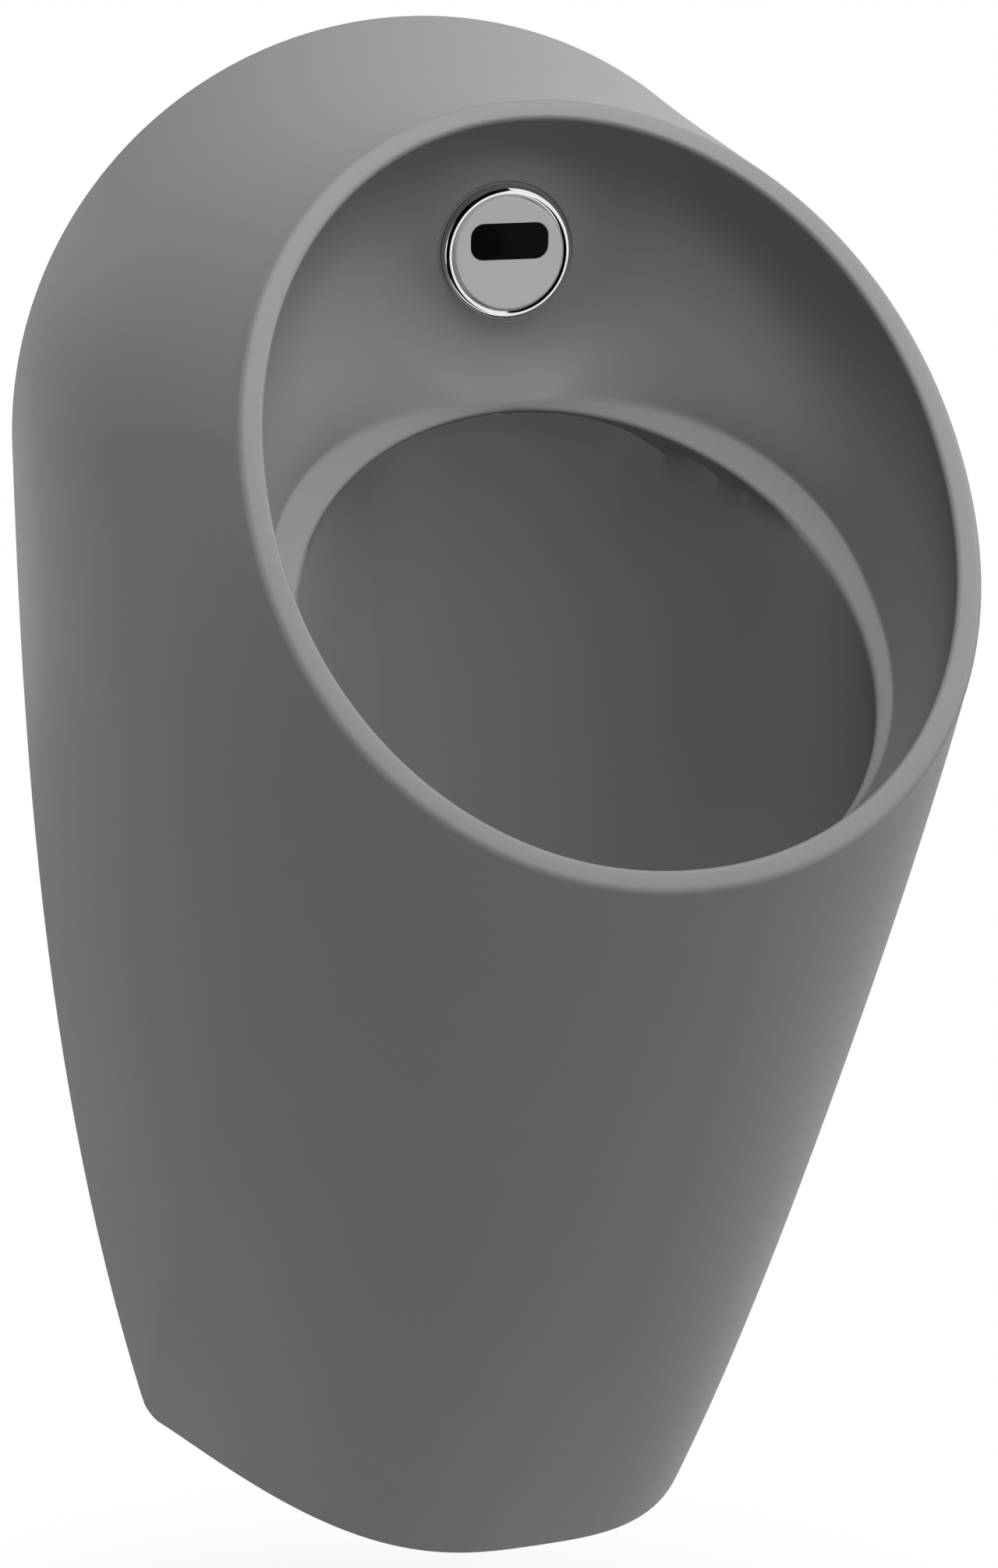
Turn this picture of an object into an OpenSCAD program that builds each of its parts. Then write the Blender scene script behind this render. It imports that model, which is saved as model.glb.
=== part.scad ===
// Wall-hung urinal with a built-in sensor control: an oval rim that leans back, a smooth upper
// bowl with the sensor in its back wall, a ledge, and a funnel bowl over a cup trap.
// x runs to the right, y = 0 is the wall and the front is at -y, z runs up.
// The origin is midway between the two hanger bolts, in the plane of the wall.

/* [Body on the wall] */
// Height of the body
body_h = 650; // [600:1:700]
// Half of the body's width at the wall, which is also the width radius of its arch
arch_half_w = 184.8; // [175:0.1:195]
// Rise of the arch above its centre
arch_rise = 180.5; // [174:0.5:200]
// Half of the foot's width at the wall
foot_half_w = 137.3; // [128:0.1:145]
// Reach of the foot from the wall
foot_reach = 178; // [165:1:190]
// Rounding of the corner between the wall edge and the foot
foot_corner_r = 8; // [5:0.5:12]
// Thickness of the fired wall
wall_t = 9; // [8:0.5:10]
// Width of the flat edge that lies on the wall
edge_w = 11; // [9:0.5:13]

/* [Rim] */
// Half of the rim's width, to the outer edge of its flat band
rim_half_w = 141.7; // [136:0.1:148]
// Half of the rim's length along its own plane
rim_half_l = 166.4; // [160:0.1:172]
// Angle of the rim's plane from the vertical
rim_lean = 37.4; // [35:0.1:40]
// Distance of the rim's centre from the wall
rim_reach = 268.2; // [262:0.1:275]
// Depth of the rim's centre below the top of the body
rim_down = 157.3; // [152:0.1:164]
// Width of the rim's flat band
band_w = 6.9; // [6:0.1:8]
// Rounding of the rim's outer edge
lip_outer_r = 3.4; // [2.5:0.1:4]
// Rounding of the rim's inner edge
lip_inner_r = 2; // [1.5:0.1:2.5]

/* [Bowl] */
// Half of the ledge's width at its outer edge
ledge_half_w = 124.1; // [120:0.1:126]
// Half of the ledge's length at its outer edge, towards the wall
ledge_back_l = 120.5; // [117:0.1:123]
// Half of the ledge's length at its outer edge, towards the front
ledge_front_l = 127; // [124:0.1:129]
// Distance of the ledge's centre from the wall
ledge_reach = 234.4; // [231:0.1:238]
// Depth of the ledge's centre below the top of the body
ledge_down = 224; // [220:0.1:228]
// Angle of the ledge's plane from the vertical
ledge_lean = 50; // [49:0.1:51]
// Width of the ledge at its two sides
ledge_w = 8.1; // [6:0.1:9]
// Drop of the ledge from its outer to its inner edge
ledge_drop = 8.1; // [7:0.1:9]
// Depth of the hollow under the nose at the back of the ledge
nose_depth = 41; // [38:0.5:42]
// Height of the bowl's lowest point above the foot
drain_z = 215; // [212:1:220]
// Distance of the drain from the wall, far enough for the strainer to lift straight out
drain_reach = 134; // [132:1:137]
// Bore of the drain's neck
neck_bore_r = 30; // [29:0.1:31]

/* [Sensor] */
// Distance of the sensor's seat from the wall
sensor_reach = 129.2; // [128.5:0.1:130]
// Depth of the sensor's centre below the top of the body
sensor_down = 88; // [86:0.5:90]
// Angle by which the sensor faces down
sensor_dip = 3; // [0:0.5:5]
// Outer radius of the bright ring
ring_r = 27.4; // [27:0.1:28]
// Radius of the satin disc
disc_r = 23; // [22.5:0.1:23]
// Height of the disc's face above the ceramic
disc_h = 6; // [5.5:0.1:7]
// Width of the dark window
window_w = 33.3; // [30:0.1:34]
// Height of the dark window
window_h = 15.1; // [14:0.1:16]
// Distance of the window's centre above the centre of the disc
window_up = 5.2; // [4:0.1:6]

/* [Wall fixings] */
// Depth of the hanger bolts below the top of the body
bolt_down = 220; // [215:1:225]
// Distance of a hanger bolt from the widest edge of the body
bolt_side = 59.8; // [56:0.1:63]
// Radius of a hanger bolt
bolt_r = 4; // [3:0.5:4.5]
// Length of a hanger bolt inside the wall
bolt_in_wall = 50; // [40:1:70]
// Height of the lower wall screws above the foot
low_screw_z = 30; // [28:1:32]
// Distance between the two lower wall screws
low_screw_gap = 224; // [220:1:228]

/* [Water and waste] */
// Depth of the water inlet below the top of the body
inlet_depth = 90; // [86:1:94]
// Radius of the inlet's thread
inlet_r = 10.5; // [10:0.1:11]
// Length of the inlet behind the plane of the wall
inlet_in_wall = 25; // [15:1:40]
// Height of the waste pipe's centre above the foot
waste_z = 138; // [134:1:140]
// Outer radius of the waste pipe
waste_r = 25; // [24:0.5:26]
// Length of the waste pipe behind the plane of the wall
waste_in_wall = 60; // [40:1:90]

/* [Hidden] */

// Heights above the foot
arch_z = body_h - arch_rise;
rim_z = body_h - rim_down;
ledge_z = body_h - ledge_down;
sensor_z = body_h - sensor_down;
bolt_z = body_h - bolt_down;
inlet_z = body_h - inlet_depth;
// Distance between the two hanger bolts
bolt_gap = 2 * (arch_half_w - bolt_side);

// Steps round the body, and steps of the curves
ring_steps = 80;
skin_steps = 8;
wall_steps = 9;
bowl_steps = 8;
lip_steps = 3;
round_fn = 72;
small_fn = 40;
hex_sides = 6;

// One overrun serves every cut
over = 1;
// Side play of pieces that are pushed together, and of pieces that turn or slide
fit = 0.1;
run_fit = 0.06;
// Space between pieces that must never touch
air = 0.5;

// Powers of the curves, which have no unit
rim_power = 2.07;
rim_taper_share = 0.025;
side_power = 2.565;
foot_side_power = 2.99;
foot_front_power = 0.817;
ledge_back_power = 2.33;
ledge_front_power = 2.1;
bowl_power = 1.15;
ellipse_power = 2;
column_power = 9;

// How far the ledge's inner edge is longer at the back, shorter at the front and moved forward,
// as shares of the ledge's width
ledge_back_share = 0.4;
ledge_front_share = 0.7;
ledge_shift_share = 0.55;

// Direction in which the outer skin bows: back, and forward and up below the rim
bow_back_share = 0.15;
bow_front_share = 0.733;
bow_up_share = 0.469;

// Rim angles, counted up from the side, at which the wall edge's arch ends, at which its side
// ends, and at which the foot's own outline begins; and how the points run along each
arch_end_a = 8.8;
side_end_a = -28.9;
foot_start_a = -36.5;
arch_ease = 0.98;
side_ease = 0.91;
foot_ease = 0.83;

// Bow of the outer skin, away from straight lines between the wall and the rim
top_bow = -4.6;
side_bow = 9.6;
front_bow = 14.1;

// The upper bowl's wall: a cove behind the rim, the column below it, the dents beside it, and
// the two sides
cove_push = 44.5;
cove_rise = 34;
column_push = 26;
hollow_push = 34;
hollow_low_push = 2;
side_push = 8;
side_low_push = 3;

// Flat pad round the sensor's seat, and the width in which it blends into the wall
pad_r = 30;
pad_blend = 26;
pad_rise = 0.4;

// The lower bowl
ledge_round = 2;
nose_start_share = 0.4;
nose_drop = 4;
neck_r = 40;
neck_l = 35;
neck_bottom_z = drain_z - neck_l;
neck_step_l = 6;
neck_step_z = neck_bottom_z + neck_step_l;
neck_step_r = 26;
neck_clear = 2;
// The bowl meets the neck a little wide, so that the strainer lifts out past it
neck_flare = 0.6;

// A power that keeps the sign
function spow(v, p) = sign(v) * pow(abs(v), p);
function unit(v) = v / norm(v);
function mix(a, b, s) = a * (1 - s) + b * s;
function smooth(s) = let (k = min(1, max(0, s))) k * k * (3 - 2 * k);

// Point on the rim's plane: grow is outwards in the plane, lift is out of it
function rim_point(a, grow, lift) = let (
    c = spow(cos(a), 2 / rim_power),
    s = spow(sin(a), 2 / rim_power))
  [
    (rim_half_w + grow) * c * (1 - rim_taper_share * s),
    -rim_reach + (rim_half_l + grow) * s * sin(rim_lean) - lift * cos(rim_lean),
    rim_z + (rim_half_l + grow) * s * cos(rim_lean) + lift * sin(rim_lean)
  ];

// Half width of the wall edge below the arch
function side_half_w(z) =
  arch_half_w - (arch_half_w - foot_half_w) * pow((arch_z - z) / arch_z, side_power);

// Edge of the body on the wall and round the foot, for one half, moved in by inset
foot_q0 = asin(pow(foot_corner_r / foot_reach, foot_front_power / 2));
function edge_half(a, inset) =
  a >= arch_end_a ?
    let (q = 90 * pow((90 - a) / (90 - arch_end_a), arch_ease))
      [(arch_half_w - inset) * sin(q), 0, arch_z + (body_h - arch_z - inset) * cos(q)]
  : a >= side_end_a ?
    let (
      s = pow((arch_end_a - a) / (arch_end_a - side_end_a), side_ease),
      z = mix(arch_z, foot_corner_r, s))
      [side_half_w(z) - inset, 0, z]
  : a >= foot_start_a ?
    let (
      q = 90 * (side_end_a - a) / (side_end_a - foot_start_a),
      y = foot_corner_r * (1 - cos(q)),
      z = foot_corner_r * (1 - sin(q)),
      narrow = pow(1 - pow(y / foot_reach, foot_front_power), 1 / foot_side_power))
      [side_half_w(z) * narrow - inset, -y, z]
  :
    let (q = mix(foot_q0, 90, pow((foot_start_a - a) / (foot_start_a + 90), foot_ease)))
      [
        (foot_half_w - inset) * pow(max(0, cos(q)), 2 / foot_side_power),
        -(foot_reach - inset) * pow(sin(q), 2 / foot_front_power),
        0
      ];
function edge_point(a, inset) =
  a >= -90 ? edge_half(a, inset)
  : let (p = edge_half(-180 - a, inset)) [-p[0], p[1], p[2]];

// Outer skin: share is 0 at the wall or the foot, and 1 at the rim
function skin_point(a, share) = let (
    s = sin(a),
    n = unit([
      cos(a),
      -bow_back_share + (s > 0 ? 0 : bow_front_share * s),
      s > 0 ? s : bow_up_share * s]),
    bow = side_bow + ((s > 0 ? top_bow : front_bow) - side_bow) * s * s)
  mix(edge_point(a, 0), rim_point(a, lip_outer_r, -lip_outer_r), share)
    + n * bow * 4 * share * (1 - share);

// Ledge: across is 0 at its outer edge and 1 at its inner edge
function ledge_point(a, across) = let (
    back = sin(a) > 0,
    p = mix(back ? ledge_back_power : ledge_front_power, ellipse_power, across),
    c = spow(cos(a), 2 / p),
    s = spow(sin(a), 2 / p),
    half_l = back
      ? ledge_back_l + ledge_w * ledge_back_share * across
      : ledge_front_l - ledge_w * ledge_front_share * across)
  [
    (ledge_half_w - ledge_w * across) * c,
    -ledge_reach - ledge_w * ledge_shift_share * across + half_l * s * sin(ledge_lean),
    ledge_z - ledge_drop * across + half_l * s * cos(ledge_lean)
  ];

// Moves a point of the upper bowl onto the flat pad, fully within pad_r of the sensor's axis
function padded(p) = let (
    d = norm([p[0], p[2] - sensor_z]),
    y = -sensor_reach - pad_rise - (p[2] - sensor_z) * tan(sensor_dip))
  [p[0], mix(y, p[1], smooth((d - pad_r) / pad_blend)), p[2]];

// Upper bowl: a cubic curve whose share is 0 at the rim and 1 at the ledge
function upper_point(a, share) = let (
    s = max(0, sin(a)),
    r = rim_point(a, -band_w, -lip_inner_r),
    l = ledge_point(a, 0),
    dent = 4 * s * s * (1 - s * s),
    c1 = mix(r, l, 1 / 3)
      + [side_push * cos(a), cove_push * s * s + hollow_push * dent, cove_rise * s * s],
    c2 = mix(r, l, 2 / 3)
      + [side_low_push * cos(a), column_push * pow(s, column_power) + hollow_low_push * dent, 0],
    k = 1 - share)
  padded(
    k * k * k * r + 3 * k * k * share * c1 + 3 * k * share * share * c2 + share * share * share * l);

// Lower bowl, from under the ledge's inner edge, q = 0, to the drain, q = 90
function nose_share(a) = smooth((sin(a) - nose_start_share) / (1 - nose_start_share));
function throat_point(a, part) =
  ledge_point(a, 1) + nose_share(a) * [0, nose_depth * part, -nose_drop * part]
    - [0, 0, ledge_round * (1 - nose_share(a)) * part];
function drain_point(a, r, z) = [r * cos(a), -drain_reach + r * sin(a), z];
function bowl_point(a, q) = let (
    top = throat_point(a, 1),
    low = drain_point(a, neck_bore_r + neck_flare, drain_z),
    h = 1 - pow(cos(q), bowl_power),
    v = sin(q))
  [mix(top[0], low[0], h), mix(top[1], low[1], h), mix(top[2], low[2], v)];

// Angle of step i round the body, from the top over the right side
function step_a(i) = 90 - 360 * i / ring_steps;
function ring_of(pts_at) = [for (i = [0:ring_steps - 1]) pts_at(step_a(i))];

// Rows of the front side, from the foot over the rim to the drain
ledge_mid_share = 0.55;
throat_mid_share = 0.5;
front_rows = concat(
  [for (k = [0:skin_steps]) ring_of(function(a) skin_point(a, k / skin_steps))],
  [for (k = [1:lip_steps]) let (q = 90 * k / lip_steps)
    ring_of(function(a) rim_point(a, lip_outer_r * cos(q), -lip_outer_r * (1 - sin(q))))],
  [for (k = [0:lip_steps]) let (q = 90 * k / lip_steps)
    ring_of(function(a)
      rim_point(a, -band_w + lip_inner_r * (1 - sin(q)), -lip_inner_r * (1 - cos(q))))],
  [for (k = [1:wall_steps]) ring_of(function(a) upper_point(a, k / wall_steps))],
  [ring_of(function(a) ledge_point(a, ledge_mid_share)),
   ring_of(function(a) ledge_point(a, 1)),
   ring_of(function(a) throat_point(a, throat_mid_share))],
  [for (k = [0:bowl_steps]) ring_of(function(a) bowl_point(a, 90 * k / bowl_steps))]
);

// Rows of the hidden side, moved out of the front side by the wall's thickness
back_q_shares = [0, 0.2, 0.42, 0.64, 0.8];
upper_shares = [0.93, 0.8, 0.65, 0.5, 0.34];
under_rows = concat(
  [for (k = [len(back_q_shares) - 1:-1:0])
    ring_of(function(a) bowl_point(a, 90 * back_q_shares[k]))],
  [for (k = upper_shares) ring_of(function(a) upper_point(a, k))]
);
inside_shares = [0.84, 0.66, 0.48, 0.3, 0.14];
inside_rows = [for (k = inside_shares) ring_of(function(a) skin_point(a, k))];

// Normal of a grid of rows at row j and step i
function grid_normal(rows, j, i) = let (
    n = ring_steps,
    j0 = max(0, j - 1),
    j1 = min(len(rows) - 1, j + 1),
    along = rows[j1][i] - rows[j0][i],
    round = rows[j][(i + 1) % n] - rows[j][(i + n - 1) % n])
  unit(cross(along, round));
function moved_rows(rows, d) =
  [for (j = [0:len(rows) - 1]) [for (i = [0:ring_steps - 1])
    rows[j][i] + d * grid_normal(rows, j, i)]];

shell_rows = concat(
  front_rows,
  [ring_of(function(a) drain_point(a, neck_bore_r - neck_clear, neck_bottom_z + neck_clear)),
   ring_of(function(a) drain_point(a, neck_r - neck_clear, neck_bottom_z + neck_clear)),
   ring_of(function(a) drain_point(a, neck_r - neck_clear, drain_z - wall_t))],
  moved_rows(under_rows, wall_t),
  moved_rows(inside_rows, wall_t),
  [ring_of(function(a) edge_point(a, edge_w))]
);

// Closed surface through rows of equal length, where the last row joins the first
module closed_grid(rows) {
  n = len(rows[0]);
  m = len(rows);
  points = [for (row = rows) for (p = row) p];
  faces = [for (j = [0:m - 1]) for (i = [0:n - 1]) let (
      a = j * n + i,
      b = j * n + (i + 1) % n,
      c = ((j + 1) % m) * n + (i + 1) % n,
      d = ((j + 1) % m) * n + i)
    each [[a, b, c], [a, c, d]]];
  polyhedron(points = points, faces = faces, convexity = 10);
}

// Moves a shape from heights above the foot to heights from the hanger bolts
module hung() {
  translate([0, 0, -bolt_z]) children();
}
module sensor_place() {
  hung() translate([0, -sensor_reach, sensor_z]) rotate([90 + sensor_dip, 0, 0]) children();
}
module drain_place(z = 0) {
  hung() translate([0, -drain_reach, z]) children();
}
module two_sides() {
  for (side = [0, 1]) mirror([side, 0, 0]) children();
}
// Cylinder along y, from y0 to y1
module bar_y(r, y0, y1, n = small_fn) {
  translate([0, y1, 0]) rotate([90, 0, 0]) cylinder(r = r, h = y1 - y0, $fn = n);
}
module bar_x(r, x0, x1, n = small_fn) {
  translate([x0, 0, 0]) rotate([0, 90, 0]) cylinder(r = r, h = x1 - x0, $fn = n);
}
module block(low, high) {
  translate(low) cube(high - low);
}

// Ceramic body: lugs, seats and bores
hook_t = 4;
hook_w = 40;
hook_h = 52;
hook_reach = 26;
hook_lip_h = 14;
hook_rise = 26;
hook_shelf_z = bolt_z + hook_rise;
lug_h = 34;
lug_y0 = 5;
lug_depth = 34;
lug_margin = 6;
lug_inner_x = bolt_gap / 2 - hook_w / 2 - lug_margin;
lug_outer_x = arch_half_w - wall_t / 2;
clip_rise = 24;
low_lug_z = low_screw_z + clip_rise;
low_lug_t = 12;
low_lug_y0 = 8;
low_lug_depth = 40;
low_lug_half_w = 17;
low_lug_inner_x = low_screw_gap / 2 - low_lug_half_w;
low_lug_wall_x = foot_half_w + wall_t / 2;
low_lug_front_x = foot_half_w - wall_t / 2;
low_pin_r = 3;
low_pin_clear = 1;
low_pin_y = 29;
low_pin_x = low_screw_gap / 2;

seat_r = 28.6;
seal_t = 1.5;
sensor_bore_r = 20;
boss_r = 30;
boss_back = 12;
boss_low = 0.8;
boss_cut_r = boss_r + over;
boss_cut_h = 30;

nozzle_r = 7;
nozzle_reach = 117;
nozzle_rise = 70;
nozzle_head_r = 8.5;
nozzle_head_h = 3;
nozzle_roof_z = ledge_z + nozzle_rise;
nozzle_face_z = nozzle_roof_z - nozzle_head_h;
roof_t = 9;
nozzle_seat_r = 11;
nozzle_seat_z = nozzle_roof_z + roof_t;
nozzle_room_h = 13;
nozzle_cut_h = 8;

module lug_upper() {
  difference() {
    block(
      [lug_inner_x, -lug_y0 - lug_depth, hook_shelf_z],
      [lug_outer_x, -lug_y0, hook_shelf_z + lug_h]);
    block(
      [lug_inner_x - over, -hook_reach - air, hook_shelf_z - over],
      [bolt_gap / 2 + hook_w / 2 + 2 * air, -hook_reach + hook_t + air, hook_shelf_z + hook_lip_h + air]);
  }
}
module lug_lower() {
  difference() {
    translate([0, 0, low_lug_z]) linear_extrude(low_lug_t) polygon([
      [low_lug_inner_x, -low_lug_y0],
      [low_lug_wall_x, -low_lug_y0],
      [low_lug_front_x, -low_lug_y0 - low_lug_depth],
      [low_lug_inner_x, -low_lug_y0 - low_lug_depth]
    ]);
    translate([low_pin_x, -low_pin_y, low_lug_z - over])
      cylinder(r = low_pin_r + low_pin_clear, h = low_lug_t + 2 * over, $fn = small_fn);
  }
}
module ceramic_body() {
  color([0.42, 0.42, 0.42])
    difference() {
      union() {
        hung() closed_grid(shell_rows);
        hung() two_sides() lug_upper();
        hung() two_sides() lug_lower();
        drain_place(neck_bottom_z)
          cylinder(r = neck_r, h = drain_z - neck_bottom_z - wall_t / 2, $fn = round_fn);
        sensor_place() translate([0, 0, -boss_back])
          cylinder(r = boss_r, h = boss_back - boss_low, $fn = round_fn);
      }
      drain_place(neck_step_z)
        cylinder(r = neck_bore_r, h = drain_z - neck_step_z + over, $fn = round_fn);
      drain_place(neck_bottom_z - over)
        cylinder(r = neck_step_r, h = drain_z - neck_bottom_z, $fn = round_fn);
      sensor_place() translate([0, 0, -seal_t])
        cylinder(r = seat_r, h = boss_cut_h, $fn = round_fn);
      sensor_place() translate([0, 0, -boss_back - boss_cut_h])
        cylinder(r = boss_cut_r, h = boss_cut_h, $fn = round_fn);
      sensor_place() translate([0, 0, -boss_back - over])
        cylinder(r = sensor_bore_r, h = boss_back + over, $fn = round_fn);
      hung() translate([0, -nozzle_reach, nozzle_roof_z - nozzle_cut_h])
        cylinder(r = nozzle_r, h = nozzle_cut_h + roof_t + over, $fn = small_fn);
      hung() translate([0, -nozzle_reach, nozzle_roof_z - nozzle_cut_h])
        cylinder(r = nozzle_head_r + air, h = nozzle_cut_h, $fn = small_fn);
      hung() translate([0, -nozzle_reach, nozzle_seat_z])
        cylinder(r = nozzle_seat_r, h = nozzle_room_h, $fn = small_fn);
    }
}

// Sensor at the back of the upper bowl, drawn about its own axis, which points into the bowl
ring_gap = 0.35;
ring_in_r = disc_r + ring_gap;
ring_h = 5;
cover_t = 1.8;
cover_side_t = 1.6;
cover_base = 1;
cover_edge = 0.7;
cover_edge_steps = 6;
window_corner = 5.6;
window_proud = 0.05;
window_flange = 1.6;
window_flange_t = 1;
window_gap = 0.1;
flange_t = 0.9;
housing_gap = 0.2;
housing_r = sensor_bore_r - housing_gap;
housing_t = 2;
housing_depth = 36;
board_r = housing_r - housing_t - fit;
board_t = 1.6;
board_back = 9;
board_step = 1.2;
lamp_r = 2.5;
lamp_x = 7;
chip_w = 6;
chip_d = 4.5;
chip_t = 1.5;
nut_t = 7;
nut_r = 26.5;
nut_notch = 3;
nut_notches = 8;
cable_r = 2.2;
cable_bend = 12;
gland_r = 5;
gland_h = 6;
gland_gap = 0.5;

module bezel_ring() {
  w = (ring_r - ring_in_r) / 2;
  color([0.85, 0.85, 0.87]) sensor_place()
    rotate_extrude($fn = round_fn)
      union() {
        translate([ring_in_r, 0]) square([2 * w, ring_h - w]);
        translate([ring_in_r + w, ring_h - w]) circle(r = w, $fn = small_fn);
      }
}
module rounded_shape(w, h, r) {
  square([w - 2 * r, h], center = true);
  square([w, h - 2 * r], center = true);
  for (x = [r - w / 2, w / 2 - r]) for (y = [r - h / 2, h / 2 - r])
    translate([x, y]) circle(r = r, $fn = small_fn);
}
module sensor_cover() {
  color([0.66, 0.66, 0.66]) sensor_place()
    difference() {
      rotate_extrude($fn = round_fn) polygon([
        [0, disc_h - cover_t],
        [disc_r - cover_side_t, disc_h - cover_t],
        [disc_r - cover_side_t, cover_base],
        [disc_r, cover_base],
        for (k = [0:cover_edge_steps]) let (q = 90 * k / cover_edge_steps)
          [disc_r - cover_edge * (1 - cos(q)), disc_h - cover_edge * (1 - sin(q))],
        [0, disc_h]
      ]);
      translate([0, window_up, disc_h - cover_t - over])
        linear_extrude(cover_t + 2 * over) rounded_shape(window_w, window_h, window_corner);
    }
}
module sensor_window() {
  color([0.03, 0.03, 0.03]) sensor_place() translate([0, window_up, 0]) {
    translate([0, 0, disc_h - cover_t - window_flange_t])
      linear_extrude(window_flange_t) rounded_shape(
        window_w + 2 * window_flange, window_h + 2 * window_flange, window_corner + window_flange);
    translate([0, 0, disc_h - cover_t - window_flange_t])
      linear_extrude(cover_t + window_flange_t + window_proud) rounded_shape(
        window_w - 2 * window_gap, window_h - 2 * window_gap, window_corner - window_gap);
  }
}
module sensor_seal() {
  color([0.1, 0.1, 0.1]) sensor_place() translate([0, 0, -seal_t])
    difference() {
      cylinder(r = ring_r - fit, h = seal_t, $fn = round_fn);
      translate([0, 0, -over]) cylinder(r = sensor_bore_r, h = seal_t + 2 * over, $fn = round_fn);
    }
}
module sensor_housing() {
  color([0.16, 0.16, 0.17]) sensor_place()
    difference() {
      union() {
        cylinder(r = disc_r, h = flange_t, $fn = round_fn);
        translate([0, 0, -housing_depth])
          cylinder(r = housing_r, h = housing_depth + flange_t / 2, $fn = round_fn);
        translate([0, 0, -housing_depth - gland_h])
          cylinder(r = gland_r, h = gland_h + housing_t / 2, $fn = small_fn);
      }
      translate([0, 0, -board_back])
        cylinder(r = housing_r - housing_t, h = board_back + flange_t + over, $fn = round_fn);
      translate([0, 0, -housing_depth + housing_t])
        cylinder(r = housing_r - housing_t - board_step, h = housing_depth, $fn = round_fn);
      translate([0, 0, -housing_depth - gland_h - over])
        cylinder(r = cable_r + gland_gap, h = gland_h + 2 * housing_t, $fn = small_fn);
    }
}
module clamp_nut() {
  color([0.2, 0.2, 0.22]) sensor_place() translate([0, 0, -boss_back - nut_t])
    difference() {
      cylinder(r = nut_r, h = nut_t, $fn = round_fn);
      translate([0, 0, -over]) cylinder(r = housing_r + fit / 2, h = nut_t + 2 * over, $fn = round_fn);
      for (k = [0:nut_notches - 1]) rotate([0, 0, 360 * k / nut_notches])
        translate([nut_r - nut_notch / 2, -nut_notch / 2, -over])
          cube([nut_notch, nut_notch, nut_t + 2 * over]);
    }
}
module circuit_board() {
  color([0.05, 0.3, 0.15]) sensor_place() translate([0, 0, -board_back]) {
    cylinder(r = board_r, h = board_t, $fn = round_fn);
    for (k = [-1, 1]) translate([k * chip_w - chip_w / 2, -chip_d, -chip_t])
      cube([chip_w - air, chip_d, chip_t]);
  }
}
module sensor_lamps() {
  h = disc_h - cover_t - window_flange_t - lamp_r - air + board_back - board_t;
  color([0.15, 0.12, 0.2]) sensor_place()
    for (side = [-1, 1]) translate([side * lamp_x, window_up, -board_back + board_t]) {
      cylinder(r = lamp_r, h = h, $fn = small_fn);
      translate([0, 0, h]) sphere(r = lamp_r, $fn = small_fn);
    }
}

// Power box on a carrier plate that the wall holds
plate_t = 4;
plate_side = 4;
plate_x1 = 84;
plate_below = 44;
plate_above = 20;
plate_z0 = inlet_z - plate_below;
plate_z1 = inlet_z + plate_above;
plate_margin = 8;
plate_screw_r = 2;
plate_screw_in_wall = 30;
plate_head_r = 4;
plate_head_h = 2.4;
plate_screw_side = 16;
// The box lies halfway between the body's middle and its widest edge, moved in a little
box_shift = 8.4;
box_w = 68;
box_x0 = -arch_half_w / 2 + box_shift - box_w / 2;
box_x1 = box_x0 + box_w;
plate_x0 = box_x0 - plate_side;
plate_screws = [
  [box_x1 + plate_screw_side, plate_z0 + plate_margin],
  [plate_x1 - plate_margin, plate_z1 - plate_margin]
];
box_depth = 44;
box_below = 40;
box_above = 22;
box_z0 = inlet_z - box_below;
box_z1 = inlet_z + box_above;
box_t = 2;
lid_t = 2.4;
cell_r = 7.1;
cell_l = 50;
cell_gap = 19;
cell_cap_r = 2.6;
cell_cap_h = 1.2;
cell_rise = 18;
cell_z = box_z0 + cell_rise;
post_r = 3.4;
post_in = 6.5;
lid_screw_r = 1.4;
lid_screw_l = 12;
lid_head_r = 2.9;
lid_head_h = 1.6;
slot_w = 0.8;
slot_d = 0.7;

// Sensor cable: straight back from the housing, then round three bends to the box
cable_start_y = -sensor_reach + (housing_depth + gland_h / 2) * cos(sensor_dip);
cable_z = sensor_z + (housing_depth + gland_h) * sin(sensor_dip);
cable_straight = 14;
cable_turn_y = cable_start_y + cable_straight;
cable_box_gap = 18;
cable_turn_x = box_x1 + cable_box_gap;
cable_turn_a = -cable_turn_x < 2 * cable_bend ? acos(1 + cable_turn_x / (2 * cable_bend)) : 90;
cable_end_y = -30;
cable_hole_gap = 0.2;

module bend_xy(r_bend, r, from_a, to_a) {
  rotate([0, 0, from_a]) rotate_extrude(angle = to_a - from_a, $fn = round_fn)
    translate([r_bend, 0]) circle(r = r, $fn = small_fn);
}
module sensor_cable() {
  turn_l = cable_bend * sin(cable_turn_a);
  mid_y = cable_turn_y + turn_l;
  last_y = cable_end_y - cable_bend;
  color([0.07, 0.07, 0.08]) hung() translate([0, 0, cable_z]) {
    bar_y(cable_r, cable_start_y, cable_turn_y);
    translate([-cable_bend, cable_turn_y, 0]) bend_xy(cable_bend, cable_r, 0, cable_turn_a);
    if (cable_turn_a == 90)
      translate([0, mid_y, 0]) bar_x(cable_r, cable_turn_x + cable_bend, -cable_bend);
    else
      translate([cable_turn_x / 2, mid_y, 0]) sphere(r = cable_r, $fn = small_fn);
    translate([cable_turn_x + cable_bend, mid_y + turn_l, 0])
      bend_xy(cable_bend, cable_r, 180, 180 + cable_turn_a);
    translate([cable_turn_x, 0, 0]) bar_y(cable_r, mid_y + turn_l, last_y);
    translate([cable_turn_x - cable_bend, last_y, 0]) bend_xy(cable_bend, cable_r, 0, 90);
    translate([0, cable_end_y, 0]) bar_x(cable_r, box_x1 - box_t, cable_turn_x - cable_bend);
  }
}
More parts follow.
